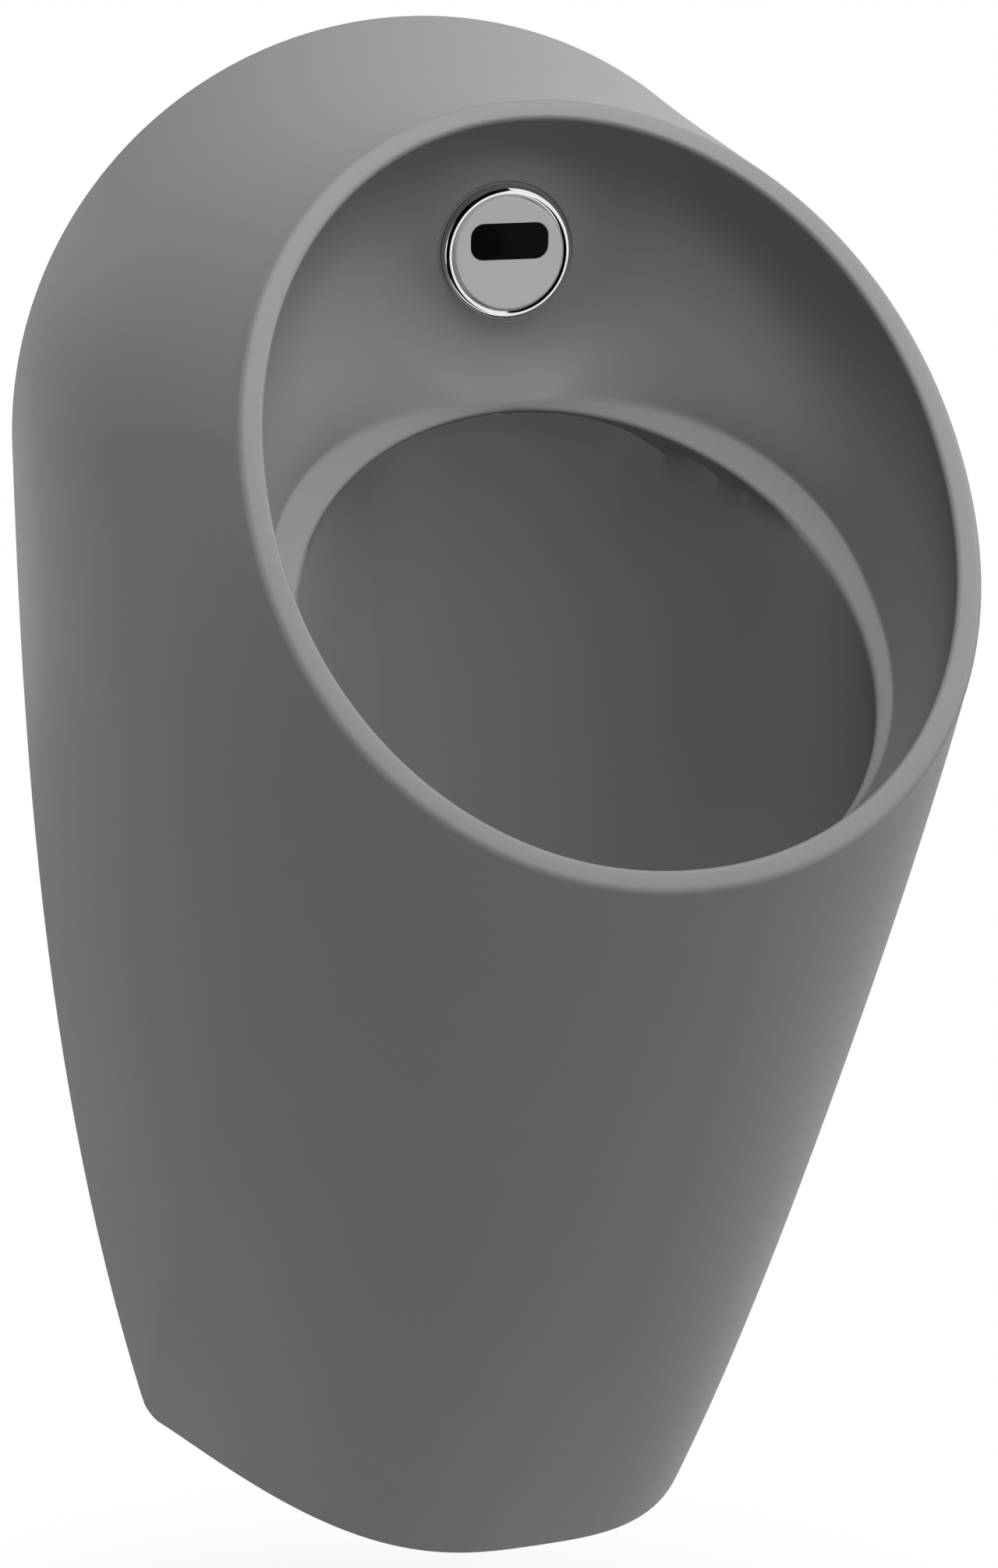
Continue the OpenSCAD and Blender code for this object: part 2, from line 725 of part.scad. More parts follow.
module coil_cable() {
  color([0.07, 0.07, 0.08]) hung() translate([0, -valve_y, coil_cable_z])
    bar_x(cable_r, box_x1 - box_t, flush_x - coil_r);
}
module box_posts() {
  for (x = [box_x0 + post_in, box_x1 - post_in]) for (z = [box_z0 + post_in, box_z1 - post_in])
    translate([x, 0, z]) children();
}
module power_box() {
  y0 = -plate_t - box_depth;
  color([0.22, 0.22, 0.24]) hung()
    difference() {
      union() {
        difference() {
          block([box_x0, y0, box_z0], [box_x1, -plate_t, box_z1]);
          block(
            [box_x0 + box_t, y0 - over, box_z0 + box_t],
            [box_x1 - box_t, -plate_t - box_t, box_z1 - box_t]);
        }
        box_posts() bar_y(post_r, y0, -plate_t - box_t / 2);
      }
      box_posts() bar_y(lid_screw_r + fit, y0 - over, y0 + lid_screw_l);
      translate([0, cable_end_y, cable_z])
        bar_x(cable_r + cable_hole_gap, box_x1 - box_t - over, box_x1 + over);
      translate([0, -valve_y, coil_cable_z])
        bar_x(cable_r + cable_hole_gap, box_x1 - box_t - over, box_x1 + over);
    }
}
module power_box_lid() {
  y1 = -plate_t - box_depth;
  color([0.28, 0.28, 0.3]) hung()
    difference() {
      union() {
        block([box_x0, y1 - lid_t, box_z0], [box_x1, y1, box_z1]);
        block(
          [box_x0 + box_t + fit, y1, cell_z],
          [box_x0 + box_t + fit + box_t, y1 + 2 * lid_t, cell_z + cell_gap]);
      }
      box_posts() bar_y(lid_screw_r + fit, y1 - lid_t - over, y1 + over);
    }
}
module lid_screws() {
  y0 = -plate_t - box_depth - lid_t;
  color([0.6, 0.6, 0.6]) hung() box_posts()
    difference() {
      union() {
        bar_y(lid_head_r, y0 - lid_head_h, y0);
        bar_y(lid_screw_r, y0 - lid_head_h / 2, y0 + lid_screw_l);
      }
      block(
        [-lid_head_r - over, y0 - lid_head_h - over, -slot_w / 2],
        [lid_head_r + over, y0 - lid_head_h + slot_d, slot_w / 2]);
    }
}
module batteries() {
  y = -plate_t - box_t - cell_r - fit;
  x0 = box_x0 + 2 * box_t + (box_x1 - box_x0 - 4 * box_t - cell_l) / 2;
  color([0.75, 0.5, 0.2]) hung()
    for (k = [0, 1]) translate([0, y, cell_z + k * cell_gap]) {
      bar_x(cell_r, x0, x0 + cell_l);
      bar_x(cell_cap_r, x0 + cell_l - cell_cap_h / 2, x0 + cell_l + cell_cap_h);
    }
}
module plate_screw_places() {
  for (p = plate_screws) translate([p[0], 0, p[1]]) children();
}
module carrier_plate() {
  color([0.3, 0.3, 0.32]) hung()
    difference() {
      block([plate_x0, -plate_t, plate_z0], [plate_x1, 0, plate_z1]);
      translate([0, 0, inlet_z]) bar_y(shoulder_r + fit, -plate_t - over, over, round_fn);
      plate_screw_places() bar_y(plate_screw_r + fit, -plate_t - over, over);
    }
}
module carrier_screws() {
  color([0.7, 0.7, 0.7]) hung() plate_screw_places()
    difference() {
      union() {
        bar_y(plate_head_r, -plate_t - plate_head_h, -plate_t);
        bar_y(plate_screw_r, -plate_t - plate_head_h / 2, plate_screw_in_wall);
      }
      block(
        [-plate_head_r - over, -plate_t - plate_head_h - over, -slot_w / 2],
        [plate_head_r + over, -plate_t - plate_head_h + slot_d, slot_w / 2]);
    }
}

// Water: inlet pipe, stop valve with a ball, then the flush valve
valve_y = 35;
pipe_bore_r = 7;
collar_r = 15;
collar_t = 3;
// Smooth shoulder of the inlet pipe inside the carrier plate
shoulder_r = inlet_r + collar_t / 2;
union_r = 16;
union_h = 10;
pipe_past_plate = 9;
pipe_end_y = plate_t + pipe_past_plate;
body_back_y = plate_t + collar_t + union_h;
body_r = 13;
body_front_l = 17;
body_front_y = valve_y + body_front_l;
cavity_r = 11;
cavity_back_l = 11.5;
cavity_back_y = valve_y - cavity_back_l;
arm_r = 8;
arm_bore_r = 4.5;
arm_end_x = 27;
stem_r = 3.5;
stem_boss_l = 22;
boss_low_z = inlet_z - stem_boss_l;
stem_boss_r = 7;
ball_r = 10.4;
ball_bore_r = 6;
stem_end = 31;
stem_slot_w = 1.2;
stem_slot_d = 2.4;
seat_bore_r = 8.2;
seat_len = 4.7;
plug_head = 4;
packing_r = 9;
packing_h = 6;
filter_len = 14;
filter_t = 1;
filter_slot = 1.4;
filter_slots = 8;

module hex_y(r, y0, y1) {
  bar_y(r, y0, y1, hex_sides);
}
module inlet_pipe() {
  color([0.78, 0.62, 0.3]) hung() translate([0, 0, inlet_z])
    difference() {
      union() {
        bar_y(inlet_r, -pipe_end_y, inlet_in_wall, round_fn);
        bar_y(shoulder_r, -plate_t - over, 0, round_fn);
        bar_y(collar_r, -plate_t - collar_t, -plate_t, round_fn);
      }
      bar_y(pipe_bore_r, -pipe_end_y - over, inlet_in_wall + over, round_fn);
    }
}
module inlet_nut() {
  color([0.8, 0.65, 0.35]) hung() translate([0, 0, inlet_z])
    difference() {
      hex_y(union_r, -body_back_y, -plate_t - collar_t);
      bar_y(inlet_r + fit, -body_back_y - over, -plate_t - collar_t + over, round_fn);
    }
}
module inlet_filter() {
  r = pipe_bore_r - fit;
  color([0.85, 0.85, 0.8]) hung() translate([0, 0, inlet_z])
    difference() {
      bar_y(r, -pipe_end_y, -pipe_end_y + filter_len);
      bar_y(r - filter_t, -pipe_end_y - over, -pipe_end_y + filter_len - filter_t);
      for (k = [0:filter_slots / 2 - 1]) rotate([0, 180 * k / (filter_slots / 2), 0])
        block(
          [-r - over, -pipe_end_y + 2 * filter_t, -filter_slot / 2],
          [r + over, -pipe_end_y + filter_len - 2 * filter_t, filter_slot / 2]);
    }
}
module stop_valve_body() {
  color([0.72, 0.56, 0.28]) hung() translate([0, 0, inlet_z])
    difference() {
      union() {
        bar_y(body_r, -body_front_y, -body_back_y, round_fn);
        bar_y(inlet_r, -body_back_y - over, -pipe_end_y, round_fn);
        translate([0, -valve_y, 0]) bar_x(arm_r, 0, arm_end_x);
        translate([0, -valve_y, boss_low_z - inlet_z])
          cylinder(r = stem_boss_r, h = inlet_z - boss_low_z, $fn = small_fn);
      }
      bar_y(cavity_r, -body_front_y - over, -cavity_back_y, round_fn);
      bar_y(pipe_bore_r, -cavity_back_y - over, over, round_fn);
      translate([0, -valve_y, 0]) bar_x(arm_bore_r, 0, arm_end_x + over);
      translate([0, -valve_y, boss_low_z - inlet_z - over])
        cylinder(r = stem_r + run_fit, h = inlet_z - boss_low_z, $fn = small_fn);
    }
}
module stop_valve_ball() {
  color([0.82, 0.82, 0.84]) hung() translate([0, -valve_y, inlet_z])
    difference() {
      union() {
        sphere(r = ball_r, $fn = round_fn);
        translate([0, 0, -stem_end]) cylinder(r = stem_r, h = stem_end - ball_bore_r, $fn = small_fn);
      }
      bar_y(ball_bore_r, 0, ball_r + over);
      bar_x(ball_bore_r, 0, ball_r + over);
      sphere(r = ball_bore_r, $fn = small_fn);
      block(
        [-stem_r - over, -stem_slot_w / 2, -stem_end - over],
        [stem_r + over, stem_slot_w / 2, -stem_end + stem_slot_d]);
    }
}
module ball_seats() {
  color([0.92, 0.92, 0.9]) hung() translate([0, 0, inlet_z])
    for (y = [-cavity_back_y - seat_len, -2 * valve_y + cavity_back_y])
      difference() {
        bar_y(cavity_r - fit, y, y + seat_len, round_fn);
        bar_y(seat_bore_r, y - over, y + seat_len + over, round_fn);
      }
}
module stop_valve_plug() {
  y1 = -2 * valve_y + cavity_back_y;
  color([0.75, 0.6, 0.3]) hung() translate([0, 0, inlet_z]) {
    bar_y(cavity_r - fit, -body_front_y - plug_head / 2, y1, round_fn);
    hex_y(body_r, -body_front_y - plug_head, -body_front_y);
  }
}
module packing_nut() {
  color([0.75, 0.6, 0.3]) hung() translate([0, -valve_y, boss_low_z - packing_h])
    difference() {
      cylinder(r = packing_r, h = packing_h, $fn = hex_sides);
      translate([0, 0, -over]) cylinder(r = stem_r + run_fit, h = packing_h + 2 * over, $fn = small_fn);
    }
}

// Flush valve: a piston lifts off its seat when the plunger opens the pilot hole
flush_x = 50;
flush_r = 19;
flush_below = 15;
flush_above = 8;
flush_low_z = inlet_z - flush_below;
flush_top_z = inlet_z + flush_above;
chamber_r = 15;
chamber_depth = 14;
chamber_low_z = flush_top_z - chamber_depth;
seat_r_out = 8;
seat_bore = 5.5;
seat_tube_h = 8;
seat_top_z = chamber_low_z + seat_tube_h;
outlet_stub_l = 9.5;
outlet_low_z = flush_low_z - outlet_stub_l;
piston_gap = 0.3;
piston_t = 4.5;
piston_lift = 3;
bonnet_t = 6;
bonnet_hollow = piston_lift + air;
plunger_r = 4;
plunger_l = 16;
plunger_gap = 0.3;
plunger_lift = 2;
spring_solid_h = 5.7;
core_r = 5.5;
core_bore_r = plunger_r + run_fit;
core_bore_l = plunger_gap + plunger_l + plunger_lift + spring_solid_h;
core_cap_t = 4;
core_top_z = flush_top_z + bonnet_t + core_bore_l + core_cap_t;
pilot_r = 1.2;
bleed_r = 0.6;
plunger_hole_r = 1.5;
plunger_hole_l = 3;
coil_r = 14;
coil_low_z = flush_top_z + bonnet_t;
coil_cable_rise = 3.2;
coil_cable_z = coil_low_z + coil_cable_rise;
coil_h = 22;
coil_frame = 2;
coil_nut_r = 8;
spring_wire_r = 0.4;
spring_gap = 0.2;
spring_turns = 5;
spring_steps = 16;
spring_sides = 6;

module flush_place(z = 0) {
  hung() translate([flush_x, -valve_y, z]) children();
}
module flush_valve_body() {
  color([0.25, 0.25, 0.27])
    difference() {
      union() {
        flush_place(flush_low_z) cylinder(r = flush_r, h = flush_top_z - flush_low_z, $fn = round_fn);
        flush_place(outlet_low_z) cylinder(r = arm_r, h = flush_low_z - outlet_low_z + over, $fn = small_fn);
        hung() translate([0, -valve_y, inlet_z]) bar_x(arm_r, arm_end_x, flush_x);
      }
      difference() {
        flush_place(chamber_low_z)
          cylinder(r = chamber_r, h = flush_top_z - chamber_low_z + over, $fn = round_fn);
        flush_place(chamber_low_z - over)
          cylinder(r = seat_r_out, h = seat_top_z - chamber_low_z + over, $fn = small_fn);
      }
      flush_place(outlet_low_z - over)
        cylinder(r = seat_bore, h = seat_top_z - outlet_low_z + 2 * over, $fn = small_fn);
      hung() translate([0, -valve_y, inlet_z - arm_bore_r / 4])
        bar_x(arm_bore_r, arm_end_x - over, flush_x - chamber_r + 2 * over);
    }
}
module flush_piston() {
  color([0.08, 0.08, 0.08]) flush_place(seat_top_z + piston_gap)
    difference() {
      cylinder(r = chamber_r - fit, h = piston_t, $fn = round_fn);
      translate([0, 0, -over]) cylinder(r = bleed_r, h = piston_t + 2 * over, $fn = small_fn);
    }
}
module valve_bonnet() {
  color([0.3, 0.3, 0.32]) flush_place(flush_top_z)
    difference() {
      union() {
        cylinder(r = flush_r, h = bonnet_t, $fn = round_fn);
        cylinder(r = core_r, h = core_top_z - flush_top_z, $fn = small_fn);
      }
      translate([0, 0, -over]) cylinder(r = chamber_r, h = bonnet_hollow + over, $fn = round_fn);
      translate([0, 0, -over]) cylinder(r = pilot_r, h = bonnet_t + 2 * over, $fn = small_fn);
      translate([0, 0, bonnet_t])
        cylinder(r = core_bore_r, h = core_bore_l, $fn = small_fn);
    }
}
module plunger() {
  color([0.7, 0.7, 0.72]) flush_place(flush_top_z + bonnet_t + plunger_gap)
    difference() {
      cylinder(r = plunger_r, h = plunger_l, $fn = small_fn);
      translate([0, 0, plunger_l - plunger_hole_l])
        cylinder(r = plunger_hole_r, h = plunger_hole_l + over, $fn = small_fn);
    }
}
spring_low_z = flush_top_z + bonnet_t + plunger_gap + plunger_l;
spring_high_z = core_top_z - core_cap_t;
function spring_point(k, side) = let (
    n = spring_turns * spring_steps,
    turn = 360 * k / spring_steps,
    r = plunger_r - 2 * spring_wire_r + spring_wire_r * cos(360 * side / spring_sides),
    rise = spring_high_z - spring_low_z - 2 * spring_gap - 2 * spring_wire_r)
  [
    r * cos(turn),
    r * sin(turn),
    spring_low_z + spring_gap + spring_wire_r + rise * k / n
      + spring_wire_r * sin(360 * side / spring_sides)
  ];
module plunger_spring() {
  n = spring_turns * spring_steps;
  points = [for (k = [0:n]) for (m = [0:spring_sides - 1]) spring_point(k, m)];
  walls = [for (k = [0:n - 1]) for (m = [0:spring_sides - 1]) let (
      a = k * spring_sides + m,
      b = k * spring_sides + (m + 1) % spring_sides,
      c = b + spring_sides,
      d = a + spring_sides)
    each [[a, c, b], [a, d, c]]];
  start = [for (m = [0:spring_sides - 1]) m];
  end = [for (m = [spring_sides - 1:-1:0]) n * spring_sides + m];
  color([0.8, 0.8, 0.8]) flush_place()
    polyhedron(points = points, faces = concat(walls, [start, end]), convexity = 6);
}
module solenoid_coil() {
  color([0.1, 0.1, 0.12]) flush_place(coil_low_z)
    difference() {
      union() {
        cylinder(r = coil_r - coil_frame, h = coil_h, $fn = round_fn);
        cylinder(r = coil_r, h = coil_h - 2 * coil_frame, $fn = round_fn);
      }
      translate([0, 0, -over]) cylinder(r = core_r + fit, h = coil_h + 2 * over, $fn = small_fn);
    }
}
module coil_nut() {
  color([0.8, 0.8, 0.8]) flush_place(coil_low_z + coil_h)
    difference() {
      cylinder(r = coil_nut_r, h = core_top_z - coil_low_z - coil_h, $fn = hex_sides);
      translate([0, 0, -over])
        cylinder(r = core_r + fit, h = core_top_z - coil_low_z - coil_h + 2 * over, $fn = small_fn);
    }
}

// Flush pipe from the valve to the nozzle under the nose
flush_pipe_r = 6;
flush_pipe_bore_r = 4.5;
flush_bend = 10;
flush_straight = 5.5;
flush_run_z = outlet_low_z - flush_straight - flush_bend;
nozzle_top_z = flush_run_z - flush_bend;
nozzle_socket = 4;
flush_dx = -flush_x;
flush_dy = valve_y - nozzle_reach;
flush_run = norm([flush_dx, flush_dy]);
flush_turn = atan2(flush_dy, flush_dx);
small_nut_r = 12;
small_nut_h = 10;
nozzle_jet_r = 2;
nozzle_nut_r = 10.4;
nozzle_nut_h = 4.5;

// Rod of radius r along the flush pipe's route, with straight ends longer by extra
module flush_route(r, extra) {
  flush_place() rotate([0, 0, flush_turn]) {
    translate([0, 0, outlet_low_z - flush_straight])
      cylinder(r = r, h = flush_straight + extra, $fn = small_fn);
    translate([flush_bend, 0, outlet_low_z - flush_straight]) rotate([90, 0, 180])
      rotate_extrude(angle = -90, $fn = round_fn)
        translate([flush_bend, 0]) circle(r = r, $fn = small_fn);
    translate([flush_bend, 0, flush_run_z]) rotate([0, 90, 0])
      cylinder(r = r, h = flush_run - 2 * flush_bend, $fn = small_fn);
    translate([flush_run - flush_bend, 0, nozzle_top_z]) rotate([90, 0, 0])
      rotate_extrude(angle = 90, $fn = round_fn)
        translate([flush_bend, 0]) circle(r = r, $fn = small_fn);
    translate([flush_run, 0, nozzle_top_z - nozzle_socket - extra])
      cylinder(r = r, h = nozzle_socket + extra, $fn = small_fn);
  }
}
module flush_pipe() {
  color([0.85, 0.85, 0.85])
    difference() {
      flush_route(flush_pipe_r, 0);
      flush_route(flush_pipe_bore_r, over);
    }
}
module pipe_nut() {
  color([0.8, 0.65, 0.35]) {
    flush_place(outlet_low_z - small_nut_h / 2)
      difference() {
        cylinder(r = small_nut_r, h = small_nut_h, $fn = hex_sides);
        translate([0, 0, small_nut_h / 2]) cylinder(r = arm_r + fit, h = small_nut_h, $fn = small_fn);
        translate([0, 0, -over]) cylinder(r = flush_pipe_r + fit, h = small_nut_h, $fn = small_fn);
      }
    hung() translate([0, -valve_y, inlet_z])
      difference() {
        bar_x(small_nut_r, arm_end_x - small_nut_h / 2, arm_end_x + small_nut_h / 3, hex_sides);
        bar_x(arm_r + fit, arm_end_x - small_nut_h, arm_end_x + small_nut_h);
      }
  }
}
module spray_nozzle() {
  color([0.8, 0.8, 0.8]) hung() translate([0, -nozzle_reach, 0])
    difference() {
      union() {
        translate([0, 0, nozzle_face_z]) cylinder(r = nozzle_head_r, h = nozzle_head_h, $fn = small_fn);
        translate([0, 0, nozzle_face_z])
          cylinder(r = nozzle_r - fit, h = nozzle_top_z - nozzle_face_z, $fn = small_fn);
      }
      translate([0, 0, nozzle_top_z - nozzle_socket])
        cylinder(r = flush_pipe_r + fit / 2, h = nozzle_socket + over, $fn = small_fn);
      translate([0, 0, nozzle_face_z + nozzle_head_h / 2])
        cylinder(r = flush_pipe_bore_r, h = nozzle_top_z - nozzle_face_z, $fn = small_fn);
      translate([0, 0, nozzle_face_z - over]) cylinder(r = nozzle_jet_r, h = nozzle_head_h, $fn = small_fn);
    }
}
module nozzle_nut() {
  color([0.8, 0.65, 0.35]) hung() translate([0, -nozzle_reach, nozzle_seat_z])
    difference() {
      cylinder(r = nozzle_nut_r, h = nozzle_nut_h, $fn = hex_sides);
      translate([0, 0, -over]) cylinder(r = nozzle_r, h = nozzle_nut_h + 2 * over, $fn = small_fn);
    }
}

// Waste: strainer and insert in the neck, then the cup trap and its pipe
insert_gap = 0.5;
insert_flange_r = neck_bore_r - insert_gap;
insert_flange_t = 4;
insert_r = 20;
insert_t = 2.5;
insert_low_z = 62;
strainer_gap = 0.6;
strainer_r = neck_bore_r - strainer_gap;
strainer_t = 2.4;
strainer_sunk = 2;
strainer_top_z = drain_z - strainer_sunk;
strainer_skirt_t = 2.4;
strainer_hole_r = 2.6;
// Rings of holes: radius as a share of the strainer's, and how many
strainer_ring_shares = [[0.33, 6], [0.64, 12]];
knob_r = 4;
knob_h = 3;
sleeve_t = 4;
sleeve_r = neck_r + sleeve_t;
sleeve_h = 20;
trap_t = 3;
trap_r = sleeve_r + trap_t / 2;
trap_socket_r = sleeve_r + trap_t;
trap_low_z = 45;
trap_base_r = 38;
socket_r = 30;
ring_t = 1.6;
socket_bore_r = waste_r + ring_t;
socket_len = 20;
socket_out = 26;
socket_end_y = drain_reach - trap_r - socket_out;
waste_t = 1.8;
waste_bore_r = waste_r - waste_t;
waste_gap = 2;
waste_start_y = socket_end_y + socket_len - waste_gap;
// Stop bead of the waste pipe, where it enters the wall
bead_h = 2;
bead_w = 4;
ring_len = 8;

module drain_strainer() {
  z0 = neck_step_z + insert_flange_t;
  h = strainer_top_z - z0;
  color([0.75, 0.75, 0.76]) drain_place()
    difference() {
      union() {
        translate([0, 0, z0]) cylinder(r = strainer_r, h = h, $fn = round_fn);
        translate([0, 0, strainer_top_z - over]) cylinder(r = knob_r, h = knob_h + over, $fn = small_fn);
      }
      translate([0, 0, z0 - over])
        cylinder(r = strainer_r - strainer_skirt_t, h = h - strainer_t + over, $fn = round_fn);
      for (ring = strainer_ring_shares) for (k = [0:ring[1] - 1]) rotate([0, 0, 360 * k / ring[1]])
        translate([strainer_r * ring[0], 0, strainer_top_z - 2 * strainer_t])
          cylinder(r = strainer_hole_r, h = 3 * strainer_t, $fn = small_fn);
    }
}
module trap_insert() {
  h = neck_step_z - insert_low_z;
  color([0.3, 0.32, 0.34]) drain_place()
    difference() {
      union() {
        translate([0, 0, neck_step_z]) cylinder(r = insert_flange_r, h = insert_flange_t, $fn = round_fn);
        translate([0, 0, insert_low_z]) cylinder(r = insert_r, h = h + over, $fn = round_fn);
      }
      translate([0, 0, insert_low_z - over])
        cylinder(r = insert_r - insert_t, h = h + insert_flange_t + 2 * over, $fn = round_fn);
    }
}
module outlet_sleeve() {
  color([0.06, 0.06, 0.06]) drain_place(neck_bottom_z)
    difference() {
      cylinder(r = sleeve_r - fit, h = sleeve_h, $fn = round_fn);
      translate([0, 0, -over]) cylinder(r = neck_r + fit, h = sleeve_h + 2 * over, $fn = round_fn);
    }
}
module trap_body() {
  color([0.85, 0.85, 0.83])
    difference() {
      union() {
        drain_place() rotate_extrude($fn = round_fn) polygon([
          [0, trap_low_z],
          [trap_base_r, trap_low_z],
          [trap_r, trap_low_z + trap_r - trap_base_r],
          [trap_r, neck_bottom_z - trap_t],
          [trap_socket_r, neck_bottom_z - trap_t],
          [trap_socket_r, neck_bottom_z + sleeve_h],
          [0, neck_bottom_z + sleeve_h]
        ]);
        hung() translate([0, 0, waste_z]) bar_y(socket_r, -drain_reach, -socket_end_y, round_fn);
      }
      drain_place() rotate_extrude($fn = round_fn) polygon([
        [0, trap_low_z + trap_t],
        [trap_base_r - trap_t / 2, trap_low_z + trap_t],
        [trap_r - trap_t, trap_low_z + trap_t + trap_r - trap_base_r],
        [trap_r - trap_t, neck_bottom_z],
        [sleeve_r, neck_bottom_z],
        [sleeve_r, neck_bottom_z + sleeve_h + over],
        [0, neck_bottom_z + sleeve_h + over]
      ]);
      hung() translate([0, 0, waste_z])
        bar_y(waste_bore_r, -drain_reach + trap_base_r, -socket_end_y + over, round_fn);
      hung() translate([0, 0, waste_z])
        bar_y(socket_bore_r, -socket_end_y - socket_len, -socket_end_y + over, round_fn);
    }
}
module waste_pipe() {
  color([0.25, 0.25, 0.26]) hung() translate([0, 0, waste_z])
    difference() {
      union() {
        bar_y(waste_r, -waste_start_y, waste_in_wall, round_fn);
        bar_y(waste_r + bead_h, -bead_w, 0, round_fn);
      }
      bar_y(waste_bore_r, -waste_start_y - over, waste_in_wall + over, round_fn);
    }
}
module waste_ring() {
  color([0.06, 0.06, 0.06]) hung() translate([0, 0, waste_z])
    difference() {
      bar_y(socket_bore_r - fit, -socket_end_y - ring_len, -socket_end_y, round_fn);
      bar_y(waste_r + fit, -socket_end_y - ring_len - over, -socket_end_y + over, round_fn);
    }
}

// Wall fixings: hooks that carry the body, and clips that hold its foot
washer_r = 8;
washer_t = 1.6;
bolt_nut_r = 7.5;
bolt_nut_h = 6.5;
bolt_out = 16;
// The front thread of a hanger bolt and the shank of a wall screw are thinner than the part in
// the wall
thread_step = 0.3;
bolt_front_r = bolt_r - thread_step;
hole_gap = 0.5;
clip_t = 3;
clip_w = 28;
clip_below = 10;
clip_low_z = low_screw_z - clip_below;
clip_reach = 40;
clip_screw_head_r = 5.5;
clip_screw_head_h = 4;
clip_screw_l = 26;
clip_nut_r = 5.8;
clip_nut_h = 5;
wall_screw_r = 2.5;
wall_head_r = 5;
wall_head_h = 3;
wall_screw_in_wall = 40;

module wall_hooks() {
  z0 = hook_shelf_z - hook_h + air;
  color([0.7, 0.72, 0.74]) hung() two_sides() translate([bolt_gap / 2 - hook_w / 2, 0, 0])
    difference() {
      union() {
        block([0, -hook_t, z0], [hook_w, 0, hook_shelf_z]);
        block([0, -hook_reach, hook_shelf_z - hook_t], [hook_w, 0, hook_shelf_z]);
        block(
          [0, -hook_reach, hook_shelf_z - hook_t],
          [hook_w, -hook_reach + hook_t, hook_shelf_z + hook_lip_h]);
      }
      translate([hook_w / 2, 0, bolt_z]) bar_y(bolt_r + hole_gap, -hook_t - over, over);
    }
}
module bolt_places() {
  hung() two_sides() translate([bolt_gap / 2, 0, bolt_z]) children();
}
module hanger_bolts() {
  color([0.75, 0.75, 0.76]) bolt_places() {
    bar_y(bolt_front_r, -bolt_out, over);
    bar_y(bolt_r, 0, bolt_in_wall);
  }
}
module hanger_washers() {
  color([0.75, 0.75, 0.76]) bolt_places()
    difference() {
      bar_y(washer_r, -hook_t - washer_t, -hook_t);
      bar_y(bolt_r + fit, -hook_t - washer_t - over, -hook_t + over);
    }
}
module hanger_nuts() {
  y1 = -hook_t - washer_t;
  color([0.75, 0.75, 0.76]) bolt_places()
    difference() {
      hex_y(bolt_nut_r, y1 - bolt_nut_h, y1);
      bar_y(bolt_front_r + fit / 2, y1 - bolt_nut_h - over, y1 + over);
    }
}
module clip_places() {
  hung() two_sides() translate([low_pin_x, 0, 0]) children();
}
module foot_clips() {
  color([0.7, 0.72, 0.74]) clip_places()
    difference() {
      union() {
        block([-clip_w / 2, -clip_t, clip_low_z], [clip_w / 2, 0, low_lug_z]);
        block([-clip_w / 2, -clip_reach, low_lug_z - clip_t], [clip_w / 2, 0, low_lug_z]);
      }
      translate([0, 0, low_screw_z]) bar_y(wall_screw_r + hole_gap, -clip_t - over, over);
      translate([0, -low_pin_y, low_lug_z - clip_t - over])
        cylinder(r = low_pin_r + hole_gap, h = clip_t + 2 * over, $fn = small_fn);
    }
}
module foot_screws() {
  color([0.75, 0.75, 0.76]) clip_places()
    translate([0, -low_pin_y, low_lug_z - clip_t - clip_screw_head_h]) {
      cylinder(r = clip_screw_head_r, h = clip_screw_head_h, $fn = hex_sides);
      cylinder(r = low_pin_r, h = clip_screw_head_h + clip_screw_l, $fn = small_fn);
    }
}
module foot_nuts() {
  color([0.75, 0.75, 0.76]) clip_places() translate([0, -low_pin_y, low_lug_z + low_lug_t])
    difference() {
      cylinder(r = clip_nut_r, h = clip_nut_h, $fn = hex_sides);
      translate([0, 0, -over]) cylinder(r = low_pin_r + fit / 2, h = clip_nut_h + 2 * over, $fn = small_fn);
    }
}
module wall_screws() {
  color([0.75, 0.75, 0.76]) clip_places() translate([0, 0, low_screw_z])
    difference() {
      union() {
        bar_y(wall_head_r, -clip_t - wall_head_h, -clip_t);
        bar_y(wall_screw_r - thread_step, -clip_t - wall_head_h / 2, over);
        bar_y(wall_screw_r, 0, wall_screw_in_wall);
      }
      block(
        [-wall_head_r - over, -clip_t - wall_head_h - over, -slot_w / 2],
        [wall_head_r + over, -clip_t - wall_head_h + slot_d, slot_w / 2]);
    }
}

ceramic_body();
bezel_ring();
sensor_cover();
sensor_window();
sensor_seal();
sensor_housing();
clamp_nut();
circuit_board();
sensor_lamps();
sensor_cable();
coil_cable();
power_box();
power_box_lid();
lid_screws();
batteries();
carrier_plate();
carrier_screws();
inlet_pipe();
inlet_nut();
inlet_filter();
stop_valve_body();
stop_valve_ball();
ball_seats();
stop_valve_plug();
packing_nut();
flush_valve_body();
flush_piston();
valve_bonnet();
plunger();
plunger_spring();
solenoid_coil();
coil_nut();
flush_pipe();
pipe_nut();
spray_nozzle();
nozzle_nut();
drain_strainer();
trap_insert();
outlet_sleeve();
trap_body();
waste_pipe();
waste_ring();
wall_hooks();
hanger_bolts();
hanger_washers();
hanger_nuts();
foot_clips();
foot_screws();
foot_nuts();
wall_screws();
